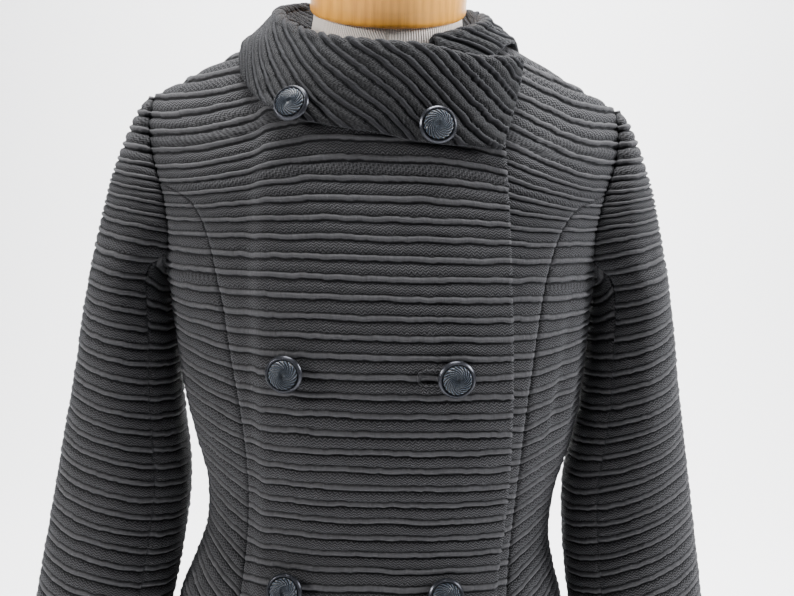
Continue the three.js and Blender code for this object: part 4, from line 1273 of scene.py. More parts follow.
@dataclass
class Collar(ClothPiece):
    """One bias-cut band that spirals round the neck and folds over on itself."""

    roll_radius: float = 5.0
    clear: float = 8.7
    crown: float = 2.0
    foot_inset: float = 6.0
    foot_rise: float = 4.0
    columns: int = 560
    stand_rows: int = 14
    roll_rows: int = 12
    fall_rows: int = 60
    ribs: float = 26.0
    slant: float = 0.185
    slant_over: float = 85.0
    stretch: float = 1.35
    length: float = 720.0
    rim_width: float = 2.2
    table: tuple[CollarRow, ...] = (
        CollarRow(108, -55, 1016, 91, -117, 941, 90, 949, -1),
        CollarRow(90, -78, 1013, 73, -119, 942, 72, 953, -1),
        CollarRow(63, -95, 1013, 48, -121, 943, 47, 959, -1),
        CollarRow(30, -104, 1019, 22, -122, 945, 20, 964, -1),
        CollarRow(-5, -103, 1021, -5, -122, 950, -8, 969, -1),
        CollarRow(-40, -91, 1024, -49, -116, 956, -38, 977.5, -1),
        CollarRow(-68, -66, 1032, -84, -102, 964, -66, 996, -1),
        CollarRow(-88, -34, 1044, -107, -73, 978, -81, 1020, -1),
        CollarRow(-94, 4, 1055, -119, -44, 999, -84, 1038, 1),
        CollarRow(-91, 24, 1060, -119.5, 2, 1026, -80, 1038, 1),
        CollarRow(-82, 42, 1064, -114, 48, 1001, -70, 1036.5, 1),
        CollarRow(-48, 68, 1070, -72, 92, 992, -38, 1033, 1),
        CollarRow(-1, 77, 1071, 0, 103, 989, 0, 1031, 1),
        CollarRow(44, 68, 1070, 70, 92, 993, 38, 1033, 1),
        CollarRow(72, 42, 1064, 116, 48, 1004, 70, 1036.5, 1),
        CollarRow(84, 4, 1055, 113, 8, 1031, 84, 1038, -1),
        CollarRow(80, -32, 1046, 98, -34, 1026, 81, 1020, -1),
        CollarRow(64, -58, 1038, 80, -62, 1012, 68, 999, -1),
        CollarRow(36, -77, 1028, 44, -84, 1004, 44, 980.5, -1),
    )

    @staticmethod
    def curve(points: Array, share: Array) -> Array:
        """A smooth line through points, read at shares of it.

        Args:
            points: The points.
            share: Shares from 0 to 1.

        Returns:
            Points on the line.
        """
        padded = np.concatenate([[2 * points[0] - points[1]], points, [2 * points[-1] - points[-2]]])
        place = np.clip(share, 0, 1) * (len(points) - 1)
        i = np.minimum(place.astype(int), len(points) - 2)
        t = (place - i)[..., None]
        p0, p1, p2, p3 = (padded[i + n] for n in range(4))
        a, b = 0.5 * (p2 - p0), 0.5 * (p3 - p1)
        return p1 + a * t + (3 * (p2 - p1) - 2 * a - b) * t ** 2 + (2 * (p1 - p2) + a + b) * t ** 3

    def feet(self) -> Array:
        """Where the stand is sewn on, just inside the neckline.

        Returns:
            One point a row of the table.
        """
        fig = self.figure
        found = []
        for n, row in enumerate(self.table):
            x, z = np.array([float(row.sx)]), np.array([float(row.sz)])
            lift = fig.overlap(-x, z)[0] if n < len(self.table) / 2 and row.side < 0 else 0.0
            y = fig.skin(x, np.minimum(z, fig.ridge(x) - 0.3), row.side)[0] + row.side * lift
            inward = -np.array([row.sx, y, 0.0]) / math.hypot(row.sx, y)
            found.append(np.array([row.sx, y, row.sz + self.foot_rise]) + inward * self.foot_inset)
        return np.array(found)

    def clear_body(self, points: Array) -> Array:
        """Push points out until they stand clear of the jacket.

        Args:
            points: Points in mm.

        Returns:
            The moved points.
        """
        fig = self.figure
        for _ in range(4):
            x, y, z = points[..., 0], points[..., 1], points[..., 2]
            roof = fig.roof_height(x, y)
            steep = np.isnan(roof)
            base = np.where(steep, z, roof)
            ahead = y < 0
            skin = np.where(ahead, fig.skin(x, base, -1), fig.skin(x, base, 1))
            foot = np.stack([x, np.where(steep, skin, y), base], -1)
            out = np.where(ahead[..., None], fig.normal(x, base, -1), fig.normal(x, base, 1))
            lift = np.where(ahead, fig.overlap(-x, base), 0.0)
            short = self.clear + lift - ((points - foot) * out).sum(-1)
            points = points + out * np.maximum(short, 0.0)[..., None]
        return points

    def strip(self, share: Array) -> Array:
        """The collar's face: up the stand, over the roll and down the fall.

        Args:
            share: Shares along the band.

        Returns:
            Rows by columns by three.
        """
        rows = np.array([[r.x, r.y, r.z] for r in self.table], float)
        edges = np.array([[r.ex, r.ey, r.ez] for r in self.table], float)
        roll, edge, foot = self.curve(rows, share), self.curve(edges, share), self.curve(self.feet(), share)
        ahead = self.curve(rows, share + 1e-4) - self.curve(rows, share - 1e-4)
        away = np.stack([-ahead[..., 1], ahead[..., 0], np.zeros(len(share))], -1)
        away /= np.linalg.norm(away, axis=-1, keepdims=True)
        away *= np.where((away[..., :2] * roll[..., :2]).sum(-1) < 0, -1.0, 1.0)[..., None]
        up = np.array([0.0, 0.0, 1.0])
        centre = roll - up * self.roll_radius
        inside, outside = centre - away * self.roll_radius, centre + away * self.roll_radius
        grid = [foot + (inside - foot) * t for t in np.linspace(0, 1, self.stand_rows, endpoint=False)]
        for turn in np.linspace(0, math.pi, self.roll_rows, endpoint=False):
            grid.append(centre + (up * math.sin(turn) - away * math.cos(turn)) * self.roll_radius)
        fall = [outside + (edge - outside) * t + away * self.crown * 4 * t * (1 - t)
                for t in np.linspace(0, 1, self.fall_rows + 1)]
        return np.array(grid + list(self.eased(np.array(fall))))

    def eased(self, fall: Array) -> Array:
        """Move the fall clear of the body without sharp steps.

        Args:
            fall: Rows by columns by three.

        Returns:
            The moved rows.
        """
        push = self.clear_body(fall) - fall
        width = max(3, fall.shape[1] // 40)
        for _ in range(2):
            shifts = [np.roll(push, n, axis=1) for n in range(-width, width + 1)]
            middle = np.median(np.array(shifts), axis=0)
            push = np.where(np.linalg.norm(push - middle, axis=-1, keepdims=True) > 2.5, middle, push)
        half = max(2, width // 2)
        padded = np.pad(push, ((0, 0), (half, half), (0, 0)), mode="edge")
        return fall + sum(padded[:, n:n + fall.shape[1]] for n in range(2 * half + 1)) / (2 * half + 1)

    def build(self) -> bpy.types.Object:
        """Build the collar.

        Returns:
            The sheet.
        """
        share = np.linspace(0, 1, self.columns + 1)
        grid = self.strip(share)
        down = np.gradient(grid, axis=0)
        across = np.gradient(grid, axis=1)
        out = np.cross(across, down)
        out /= np.maximum(np.linalg.norm(out, axis=-1, keepdims=True), 1e-9)
        steps = np.linalg.norm(np.diff(grid, axis=0), axis=-1)
        drop = np.concatenate([np.zeros((1, grid.shape[1])), np.cumsum(steps, 0)])
        start = self.stand_rows + self.roll_rows // 2
        fallen = (drop - drop[start]) / self.slant_over
        along_rib = drop * self.stretch
        phase = self.ribs * (share[None, :] + self.slant * fallen)
        level = self.weave.origin - phase * self.weave.pitch
        moved = level + 1.15 * self.weave.drift(along_rib, level, self.seed)
        rise = self.weave.height(moved, along_rib, self.seed)
        rim = np.minimum(np.minimum(share, 1 - share)[None, :] * self.length, drop[-1:] - drop)
        rise = rise * (1 - 0.75 * np.exp(-((rim / self.rim_width) ** 2)))
        outer = grid + out * rise[..., None]
        inner = grid - out * self.weave.wall
        uv = np.stack([along_rib, moved], -1) * MM
        piece = MeshMaker.wall("collar_cloth", outer, inner, uv, (4, 4))
        hand_over(piece, self.finish, "jacket_cloth", "collar")
        along = np.linalg.norm(np.diff(grid, axis=1), axis=-1)
        self.declare(piece, grid, np.concatenate([np.zeros((len(grid), 1)), np.cumsum(along, 1)], 1))
        return piece


@dataclass(frozen=True)
class ButtonSize:
    """A shank button, in mm."""

    radius: float = 15.0
    shank: float = 3.2
    dome: float = 11.3
    dome_base: float = 7.7
    dome_rise: float = 3.0
    cords: int = 19
    swirl: float = 2.1
    cord_rise: float = 1.5
    sides: int = 190
    rows: int = 24


@dataclass
class Button:
    """A button with a bevelled metal rim round a dome of swirled cords."""

    name: str
    size: ButtonSize
    metal: bpy.types.Material
    cord: bpy.types.Material
    turn: float

    def build(self) -> bpy.types.Object:
        """Build the button on the place of its CAD node.

        Returns:
            The rim. The dome is set in the same place but is not parented to it.
        """
        s = self.size
        profile = [(0.0, 0.0), (s.shank, 0.0), (s.shank, 3.0), (12.6, 3.6), (s.radius - 0.3, 5.2),
                   (s.radius, 6.2), (s.radius - 0.5, 7.2), (13.2, 8.5), (12.2, 8.3), (11.7, 7.4),
                   (11.2, 7.0), (0.0, 6.9)]
        rim = MeshMaker.lathe(self.name + "_rim", profile, 64, 0.4)
        turn = 2 * math.pi * np.arange(s.sides) / s.sides
        rings = []
        for r in np.linspace(1.0, 0.03, s.rows):
            swirl = s.swirl * (1 - r) ** 1.25
            wave = np.abs(np.cos(0.5 * s.cords * (turn + swirl)))
            rise = s.dome_rise * math.sqrt(1 - 0.94 * r * r)
            ridge = s.cord_rise * wave ** 0.6 * min(1.0, r * 4.0)
            reach = s.dome * r
            height = s.dome_base - 0.8 + rise + ridge
            rings.append(np.stack([reach * np.cos(turn), reach * np.sin(turn), height], -1))
        low = rings[0].copy()
        low[:, 2] = s.dome_base - 1.2
        dome = MeshMaker.loft(self.name + "_dome", np.array([low] + rings))
        self.mark(dome)
        place = self.place()
        for piece in (rim, dome):
            piece.matrix_world = place
        hand_over(rim, self.metal, "button_metal", self.name)
        hand_over(dome, self.cord, "button_metal")
        return rim

    def mark(self, dome: bpy.types.Object) -> None:
        """Write each point's place along and across the cords into the dome's UV.

        Args:
            dome: The dome.
        """
        mesh = dome.data
        points = np.zeros(len(mesh.vertices) * 3)
        mesh.vertices.foreach_get("co", points)
        points = points.reshape(-1, 3) / MM
        r = np.hypot(points[:, 0], points[:, 1]) / self.size.dome
        turn = np.arctan2(points[:, 1], points[:, 0]) + self.size.swirl * (1 - np.clip(r, 0, 1)) ** 1.25
        uv = np.stack([r, turn * self.size.cords / (2 * math.pi)], -1)
        corner = np.zeros(len(mesh.loops), np.int32)
        mesh.loops.foreach_get("vertex_index", corner)
        spots = uv[corner].reshape(-1, 2)
        start = np.zeros(len(mesh.polygons), np.int32)
        total = np.zeros(len(mesh.polygons), np.int32)
        mesh.polygons.foreach_get("loop_start", start)
        mesh.polygons.foreach_get("loop_total", total)
        for a, n in zip(start, total):
            part = spots[a:a + n, 1]
            part[part < part.max() - self.size.cords / 2] += self.size.cords
        mesh.uv_layers["UVMap"].data.foreach_set("uv", spots.astype(np.float32).ravel())

    def place(self) -> Matrix:
        """Where the CAD button stands and faces.

        Returns:
            The button's matrix in metres.
        """
        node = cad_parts[self.name]
        points = np.array([v.co[:] for v in node.data.vertices])
        centre = points.mean(axis=0)
        spread = points - centre
        values, axes = np.linalg.eigh(spread.T @ spread)
        out = axes[:, 0] * (-1.0 if axes[1, 0] > 0 else 1.0)
        along = points @ out
        low = along.min()
        base = points[along < low + 0.3 * MM].mean(axis=0)
        z = Vector(out)
        x = Vector((math.cos(self.turn), 0.0, math.sin(self.turn)))
        x = (x - z * x.dot(z)).normalized()
        basis = Matrix((x, z.cross(x), z)).transposed().to_4x4()
        basis.translation = Vector(base)
        return basis


@dataclass
class Buttonhole:
    """The worked ring round the buttonhole, with its stitches, in mm."""

    figure: Figure
    finish: bpy.types.Material
    x: float = 47.0
    z: float = 764.0
    half: float = 16.0
    height: float = 4.5
    band: float = 2.2
    stitches: int = 64

    def build(self) -> bpy.types.Object:
        """Build the ring of stitches.

        Returns:
            The ring.
        """
        steps, sides = self.stitches * 5, 10
        ring = np.zeros((sides, steps, 3))
        for n in range(steps):
            turn = 2 * math.pi * n / steps
            bulge = 0.75 + 0.25 * abs(math.sin(math.pi * n / 5))
            for k in range(sides):
                angle = 2 * math.pi * k / sides
                grow = self.band * (0.5 + 0.5 * math.cos(angle) * bulge)
                reach = self.height + grow
                side = math.copysign(1.0, math.cos(turn)) * min(1.0, abs(math.cos(turn)) * 8)
                px = self.x + (self.half - self.height) * side + reach * math.cos(turn)
                point, out = self.figure.front_spot(px, self.z + reach * math.sin(turn))
                ring[k, n] = point + out * (2.3 + 0.6 + 0.6 * math.sin(angle) * bulge)
        index = np.arange(sides * steps).reshape(sides, steps)
        corners = (index, np.roll(index, -1, 1), np.roll(np.roll(index, -1, 1), -1, 0), np.roll(index, -1, 0))
        quads = np.stack(corners, -1).reshape(-1, 4).tolist()
        uv = ring[..., [0, 2]].reshape(-1, 2) * MM
        piece = MeshMaker.finish("buttonhole_ring", ring.reshape(-1, 3), quads, [], uv)
        return hand_over(piece, self.finish, "jacket_cloth", "buttonhole")


@dataclass
class DressForm:
    """The limbless form: a smooth torso and neck in a fine ribbed cover, in mm."""

    figure: Figure
    cover: bpy.types.Material
    inset: float = 9.5
    shoulder_drop: float = 4.0
    half_most: float = 176.0
    bottom: float = 340.0
    sides: int = 220
    neck: tuple[tuple[float, float, float, float, float], ...] = (
        (1019, 84, 54, -5, 0.1), (1027, 69, 53, -8, 0.2), (1036, 65, 53, -11, 0.3), (1053, 63, 57, -10, 0.32),
    )

    def ring(self, z: float) -> Array:
        """One ring of the torso.

        Args:
            z: Height.

        Returns:
            Points round it.
        """
        fig = self.figure
        power = fig.squareness
        reach = min(float(fig.at_half(z)) - self.inset, self.half_most)
        roofed = fig.neck_x + (fig.neck_z - self.shoulder_drop - z) / fig.slope
        half = min(reach, roofed)
        turn = 2 * math.pi * np.arange(self.sides) / self.sides
        x = half * np.abs(np.sin(turn)) ** (2 / power) * np.sign(np.sin(turn))
        ahead = np.cos(turn) > 0
        depth = np.where(ahead, fig.at_front(z), fig.at_back(z)) - self.inset
        wide = reach + self.inset if roofed < reach else reach
        share = np.maximum(0.0, 1 - (np.abs(x) / wide) ** power)
        roof = np.clip((fig.ridge(x) - self.shoulder_drop - z) / fig.roof_drop, 0, 1)
        y = depth * share ** (1 / power) * np.sqrt(1 - (1 - roof) ** 2)
        return np.stack([x + float(fig.at_sway(z)), np.where(ahead, -y, y), np.full_like(x, z)], -1)

    def build(self) -> bpy.types.Object:
        """Build the form with its neck.

        Returns:
            The form.
        """
        turn = 2 * math.pi * np.arange(self.sides) / self.sides
        first_ring, last_ring, rings = 344, 1010, 120
        low = [self.ring(self.bottom + 0.2) * [0.96, 0.96, 1.0]]
        low += [self.ring(z) for z in np.linspace(first_ring, last_ring, rings)]
        keys = np.array(self.neck, float)
        neck = []
        for z in np.concatenate([keys[:3, 0], np.linspace(1039, 1053, 8)]):
            x, y, shift, tilt = (np.interp(z, keys[:, 0], keys[:, n]) for n in (1, 2, 3, 4))
            py = -y * np.cos(turn)
            neck.append(np.stack([x * np.sin(turn), py + shift, z + py * tilt], -1))
        piece = MeshMaker.loft("form_cover", np.array(low + neck))
        return hand_over(piece, self.cover, "form_cover", "form_body")


@dataclass
class NeckCap:
    """The turned wooden cap on the neck, in mm."""

    wood: bpy.types.Material
    radius: float = 66.4
    height: float = 38.0
    dome: float = 4.0
    shift: float = -10.0
    z: float = 1053.3
    tilt: float = 0.32

    def build(self) -> bpy.types.Object:
        """Build the cap.

        Returns:
            The cap.
        """
        r, h = self.radius, self.height
        profile = [(0, 0), (r - 2, 0), (r, 3), (r, 12), (r + 0.1, 13), (r + 0.1, h - 9), (r - 2.5, h - 3),
                   (r - 8, h), (r * 0.5, h + self.dome * 0.8), (0, h + self.dome)]
        piece = MeshMaker.lathe("neck_cap", profile, 160, 2.0)
        axis = Vector((0.0, -self.tilt, 1.0)).normalized()
        turn = Vector((0.0, 0.0, 1.0)).rotation_difference(axis).to_matrix().to_4x4()
        piece.matrix_world = Matrix.Translation(Vector((0.0, self.shift, self.z)) * MM) @ turn
        return hand_over(piece, self.wood, "cap_wood", "form_cap")


@dataclass
class Stand:
    """The stem and the round base, in mm."""

    wood: bpy.types.Material
    radius: float = 165.0
    height: float = 24.0
    stem: float = 17.0
    flange: float = 60.0
    low: float = 46.3
    top: float = 339.7

    def build(self) -> list[bpy.types.Object]:
        """Build the stem and the base.

        Returns:
            Both pieces.
        """
        r, h = self.radius, self.height
        base = [(0, 0), (r, 0), (r, h - 8), (r - 3, h - 2.5), (r - 8, h), (60, h + 1.4), (34, h + 2),
                (31, h + 14), (28, h + 22), (0, h + 22)]
        waist = self.stem - 1.5
        stem = [(0, self.low), (self.stem, self.low), (self.stem, self.low + 20), (waist, self.low + 26),
                (waist, self.top - 60), (self.stem, self.top - 26), (self.flange, self.top - 12),
                (self.flange, self.top), (0, self.top)]
        return [
            hand_over(MeshMaker.lathe("base_turned", base, 160, 2.0), self.wood, "stand_wood", "stand_base"),
            hand_over(MeshMaker.lathe("stem_turned", stem, 96, 2.0), self.wood, "stand_wood", "stand_stem"),
        ]


class Wire:
    """A shader socket that can be added, multiplied and eased like a number."""

    def __init__(self, tree: bpy.types.NodeTree, socket: bpy.types.NodeSocket) -> None:
        """Wrap a socket.

        Args:
            tree: The node tree.
            socket: An output socket.
        """
        self.tree = tree
        self.socket = socket

    def math(self, operation: str, *values: "Wire | float") -> "Wire":
        """A Math node over this and other values.

        Args:
            operation: Its operation.
            values: All its inputs in order.

        Returns:
            The result.
        """
        node = self.tree.nodes.new("ShaderNodeMath")
        node.operation = operation
        for place, value in zip(node.inputs, values):
            if isinstance(value, Wire):
                self.tree.links.new(value.socket, place)
            else:
                place.default_value = value
        return Wire(self.tree, node.outputs[0])

    def __add__(self, other: "Wire | float") -> "Wire":
        """Sum."""
        return self.math("ADD", self, other)

    def __radd__(self, other: float) -> "Wire":
        """Sum with a number first."""
        return self.math("ADD", other, self)

    def __sub__(self, other: "Wire | float") -> "Wire":
        """Difference."""
        return self.math("SUBTRACT", self, other)

    def __rsub__(self, other: float) -> "Wire":
        """Difference from a number."""
        return self.math("SUBTRACT", other, self)

    def __mul__(self, other: "Wire | float") -> "Wire":
        """Product."""
        return self.math("MULTIPLY", self, other)

    def __rmul__(self, other: float) -> "Wire":
        """Product with a number first."""
        return self.math("MULTIPLY", other, self)

    def __truediv__(self, other: "Wire | float") -> "Wire":
        """Quotient."""
        return self.math("DIVIDE", self, other)

    def fract(self) -> "Wire":
        """The part after the point.

        Returns:
            The fraction.
        """
        return self.math("FRACT", self)

    def wave(self) -> "Wire":
        """A sine of turns, from -1 to 1.

        Returns:
            The sine.
        """
        return self.math("SINE", self * (2 * math.pi))

    def size(self) -> "Wire":
        """The value without its sign.

        Returns:
            The absolute value.
        """
        return self.math("ABSOLUTE", self)

    def ease(self, low: float, high: float) -> "Wire":
        """A smooth step between two values.

        Args:
            low: Where it starts.
            high: Where it ends.

        Returns:
            The share from 0 to 1.
        """
        node = self.tree.nodes.new("ShaderNodeMapRange")
        node.interpolation_type = "SMOOTHSTEP"
        self.tree.links.new(self.socket, node.inputs["Value"])
        node.inputs["From Min"].default_value = low
        node.inputs["From Max"].default_value = high
        return Wire(self.tree, node.outputs["Result"])


class Painter:
    """A material under construction."""

    def __init__(self, name: str) -> None:
        """Start a material.

        Args:
            name: Its name.
        """
        self.material = bpy.data.materials.new(name)
        self.material.use_nodes = True
        self.tree = self.material.node_tree
        self.shader = self.tree.nodes["Principled BSDF"]

    def node(self, kind: str, settings: dict | None = None, output: int | str = 0, **inputs: object) -> Wire:
        """Any node, with its settings first and then its socket values or links.

        Args:
            kind: Node type.
            settings: Properties to set.
            output: Which output to hand back.
            inputs: Values or wires by socket name, with _ for a space.

        Returns:
            The chosen output.
        """
        made = self.tree.nodes.new(kind)
        for key, value in (settings or {}).items():
            setattr(made, key, value)
        for key, value in inputs.items():
            self.put(made.inputs[key.replace("_", " ")], value)
        return Wire(self.tree, made.outputs[output])

    def put(self, socket: bpy.types.NodeSocket, value: object) -> None:
        """Set a socket or link it.

        Args:
            socket: The input.
            value: A number, colour or wire.
        """
        if isinstance(value, Wire):
            self.tree.links.new(value.socket, socket)
        else:
            socket.default_value = value

    def set(self, **inputs: object) -> None:
        """Set sockets of the surface shader.

        Args:
            inputs: Values or wires by socket name, with _ for a space.
        """
        for key, value in inputs.items():
            self.put(self.shader.inputs[key.replace("_", " ")], value)

    def mix(self, share: Wire | float, low: object, high: object) -> Wire:
        """A blend of two colours.

        Args:
            share: 0 for the first and 1 for the second.
            low: First colour or wire.
            high: Second colour or wire.

        Returns:
            The colour.
        """
        made = self.tree.nodes.new("ShaderNodeMix")
        made.data_type = "RGBA"
        self.put(made.inputs["Factor"], share)
        for place, value in ((6, low), (7, high)):
            full = value if isinstance(value, Wire) else (*value, 1.0)
            self.put(made.inputs[place], full)
        return Wire(self.tree, made.outputs[2])

    def uv(self) -> tuple[Wire, Wire]:
        """The two UV coordinates.

        Returns:
            Along and across.
        """
        split = self.tree.nodes.new("ShaderNodeSeparateXYZ")
        coordinates = self.tree.nodes.new("ShaderNodeUVMap")
        coordinates.uv_map = "UVMap"
        self.tree.links.new(coordinates.outputs[0], split.inputs[0])
        return Wire(self.tree, split.outputs[0]), Wire(self.tree, split.outputs[1])

    def vector(self, x: Wire | float, y: Wire | float, z: Wire | float = 0.0) -> Wire:
        """A vector from three values.

        Args:
            x: First.
            y: Second.
            z: Third.

        Returns:
            The vector.
        """
        return self.node("ShaderNodeCombineXYZ", None, 0, X=x, Y=y, Z=z)

    def noise(self, vector: Wire, scale: float, detail: float = 3.0) -> Wire:
        """Noise from 0 to 1.

        Args:
            vector: Where it is read.
            scale: Cells a unit.
            detail: Octaves.

        Returns:
            The noise.
        """
        return self.node("ShaderNodeTexNoise", None, 0, Vector=vector, Scale=scale, Detail=detail)

    def place(self) -> Wire:
        """The point on the object, in metres.

        Returns:
            The object coordinates.
        """
        return self.node("ShaderNodeTexCoord", None, "Object")

    def bump(self, height: Wire, distance: float, strength: float = 1.0) -> None:
        """Feed a height to the surface.

        Args:
            height: The height.
            distance: Metres that a height of 1 stands for.
            strength: How much of it is used.
        """
        made = self.node("ShaderNodeBump", None, 0, Height=height, Distance=distance, Strength=strength)
        self.set(Normal=made)


@dataclass(frozen=True)
class ClothFinish:
    """Near-black double cloth: smooth narrow ribs with a painted highlight, zigzag bands, and grooves
    darkened with painted shade.
    """

    name: str
    band: tuple[float, float, float] = (0.010, 0.010, 0.011)
    thread: tuple[float, float, float] = (0.056, 0.055, 0.059)
    # Rib colour lighter than the band: a painted highlight on the raised rib.
    rib: tuple[float, float, float] = (0.068, 0.067, 0.071)
    # Near-black groove colour: painted shade in the groove under each rib.
    groove: tuple[float, float, float] = (0.002, 0.002, 0.003)
    zigzag: float = 0.0044
    line: float = 0.0021
    pitch: float = 0.015
    origin: float = 0.385
    sheen: tuple[float, float, float, float] = (0.55, 0.57, 0.62, 1.0)

    def build(self) -> bpy.types.Material:
        """Make the material.

        Returns:
            The material.
        """
        p = Painter(self.name)
        u, v = p.uv()
        phase = ((v - self.origin) / self.pitch).fract()
        scallop = p.noise(p.vector(u, v * 0.3), 260.0, 2.0) * 0.07 - 0.035
        # Mask of the narrow rib, which gets a painted highlight.
        rib = (phase + scallop).ease(0.06, 0.12) * (1.0 - (phase + scallop).ease(0.30, 0.385))
        band = phase.ease(0.39, 0.43) * (1.0 - phase.ease(0.93, 0.97))
        # Mask of the groove under each rib, where painted shade goes.
        groove = 1.0 - phase.ease(0.03, 0.1) * (1.0 - phase.ease(0.945, 0.985))
        warp = p.noise(p.vector(u, v), 90.0, 2.0)
        saw = ((u + warp * 0.0012) / self.zigzag).fract()
        tent = (saw - 0.5).size() * 2.0
        lines = ((v / self.line) + tent * 0.8 + warp * 0.35).wave() * 0.5 + 0.5
        fuzz = p.noise(p.vector(u, v), 2600.0, 4.0)
        blotch = p.noise(p.vector(u, v), 14.0, 3.0)
        crinkle = p.noise(p.vector(u * 4.2, v * 0.55), 120.0, 3.0)
        shade = p.mix(band * lines.ease(0.3, 0.85) * (0.55 + fuzz * 0.9), self.band, self.thread)
        # Painted highlight on the narrow ribs, broken up by crinkle and fuzz noise.
        shade = p.mix(rib * (0.25 + crinkle * 0.75 + fuzz * 0.45), shade, self.rib)
        # Painted shade in the grooves.
        shade = p.mix(groove * 0.9, shade, self.groove)
        shade = p.mix((blotch - 0.4) * 0.35, shade, self.thread)
        p.set(Base_Color=shade, Roughness=0.78, Specular_IOR_Level=0.22)
        p.set(Sheen_Weight=0.12, Sheen_Roughness=0.4, Sheen_Tint=self.sheen)
        height = band * lines * 1.0 + rib * crinkle * 1.5 + fuzz * 0.55 - groove * 0.8
        p.bump(height, 0.0006, 1.0)
        return p.material


@dataclass(frozen=True)
class MetalFinish:
    """Dark gunmetal of the buttons' rims."""

    base: tuple[float, float, float] = (0.026, 0.027, 0.032)

    def build(self) -> bpy.types.Material:
        """Make the material.

        Returns:
            The material.
        """
        p = Painter("gunmetal")
        wear = p.noise(p.place(), 900.0, 4.0)
        p.set(Base_Color=p.mix(wear, self.base, tuple(c * 2.2 for c in self.base)), Metallic=0.8,
              Roughness=wear * 0.2 + 0.2)
        p.bump(wear, 0.00003, 0.5)
        return p.material


@dataclass(frozen=True)
class CordFinish:
    """Twisted cords of the buttons' domes, with a painted highlight along each cord's crest."""

    dark: tuple[float, float, float] = (0.002, 0.003, 0.006)
    # Pale colour of each cord's crest: a painted highlight.
    light: tuple[float, float, float] = (0.075, 0.11, 0.16)

    def build(self) -> bpy.types.Material:
        """Make the material.

        Returns:
            The material.
        """
        p = Painter("twisted_cord")
        r, across = p.uv()
        twist = (r * 15.0 + across * 1.0).wave() * 0.5 + 0.5
        crest = (across.fract() - 0.5).size() * 2.0
        top = crest.ease(0.5, 0.95)
        # Painted highlight along the cord crests, broken up by the twist.
        painted_highlight = top * (twist.ease(0.2, 0.9) * 0.75 + 0.25)
        p.set(Base_Color=p.mix(painted_highlight, self.dark, self.light), Roughness=0.3, Specular_IOR_Level=0.5)
        p.bump(twist * top, 0.0003, 0.8)
        return p.material


@dataclass(frozen=True)
class CoverFinish:
    """Cream cover with fine vertical ribs and painted shade in the valleys between them."""

    base: tuple[float, float, float] = (1.0, 0.90, 0.82)
    pitch: float = 0.0021

    def build(self) -> bpy.types.Material:
        """Make the material.

        Returns:
            The material.
        """
        p = Painter("ribbed_cover")
        u, v = p.uv()
        wobble = p.noise(p.vector(u, v), 60.0, 2.0)
        rib = ((u + wobble * 0.0006) / self.pitch).wave() * 0.5 + 0.5
        loops = (v / 0.0016 + rib * 0.4).wave() * 0.5 + 0.5
        # Darker colour between the ribs: painted shade in the valleys.
        between = tuple(c * 0.62 for c in self.base)
        p.set(Base_Color=p.mix(rib.ease(0.0, 0.7), between, self.base), Roughness=0.85, Sheen_Weight=0.2)
        p.bump(rib * 0.9 + loops * 0.2, 0.0007, 0.9)
        return p.material


@dataclass(frozen=True)
class WoodFinish:
    """Varnished wood with a straight grain."""

    name: str
    light: tuple[float, float, float]
    dark: tuple[float, float, float]

    def build(self) -> bpy.types.Material:
        """Make the material.

        Returns:
            The material.
        """
        p = Painter(self.name)
        split = p.tree.nodes.new("ShaderNodeSeparateXYZ")
        p.tree.links.new(p.place().socket, split.inputs[0])
        x, y, z = (Wire(p.tree, split.outputs[n]) for n in range(3))
        bend = p.noise(p.vector(x, y, z), 9.0, 2.0)
        rings = ((x + y * 0.4 + bend * 0.03) / 0.0075).wave() * 0.5 + 0.5
        fibre = p.noise(p.vector(x, y, z * 0.05), 700.0, 5.0)
        cloud = p.noise(p.vector(x, y, z), 16.0, 3.0)
        shade = p.mix(rings * 0.3 + (fibre - 0.3) * 0.9, self.light, self.dark)
        shade = p.mix(cloud * 0.3, shade, tuple(min(c * 1.3, 1.0) for c in self.light))
        p.set(Base_Color=shade, Roughness=fibre * 0.15 + 0.28, Coat_Weight=0.35, Coat_Roughness=0.2)
        p.bump(fibre, 0.00008, 0.5)
        return p.material


@dataclass(frozen=True)
class StageFinish:
    """Plain pale paper of the floor and the backdrop."""

    base: tuple[float, float, float] = (0.86, 0.86, 0.87)

    def build(self) -> bpy.types.Material:
        """Make the material.

        Returns:
            The material.
        """
        p = Painter("pale_paper")
        grain = p.noise(p.place(), 40.0, 3.0)
        p.set(Base_Color=p.mix(grain * 0.2, self.base, tuple(c * 0.95 for c in self.base)), Roughness=0.9)
        return p.material


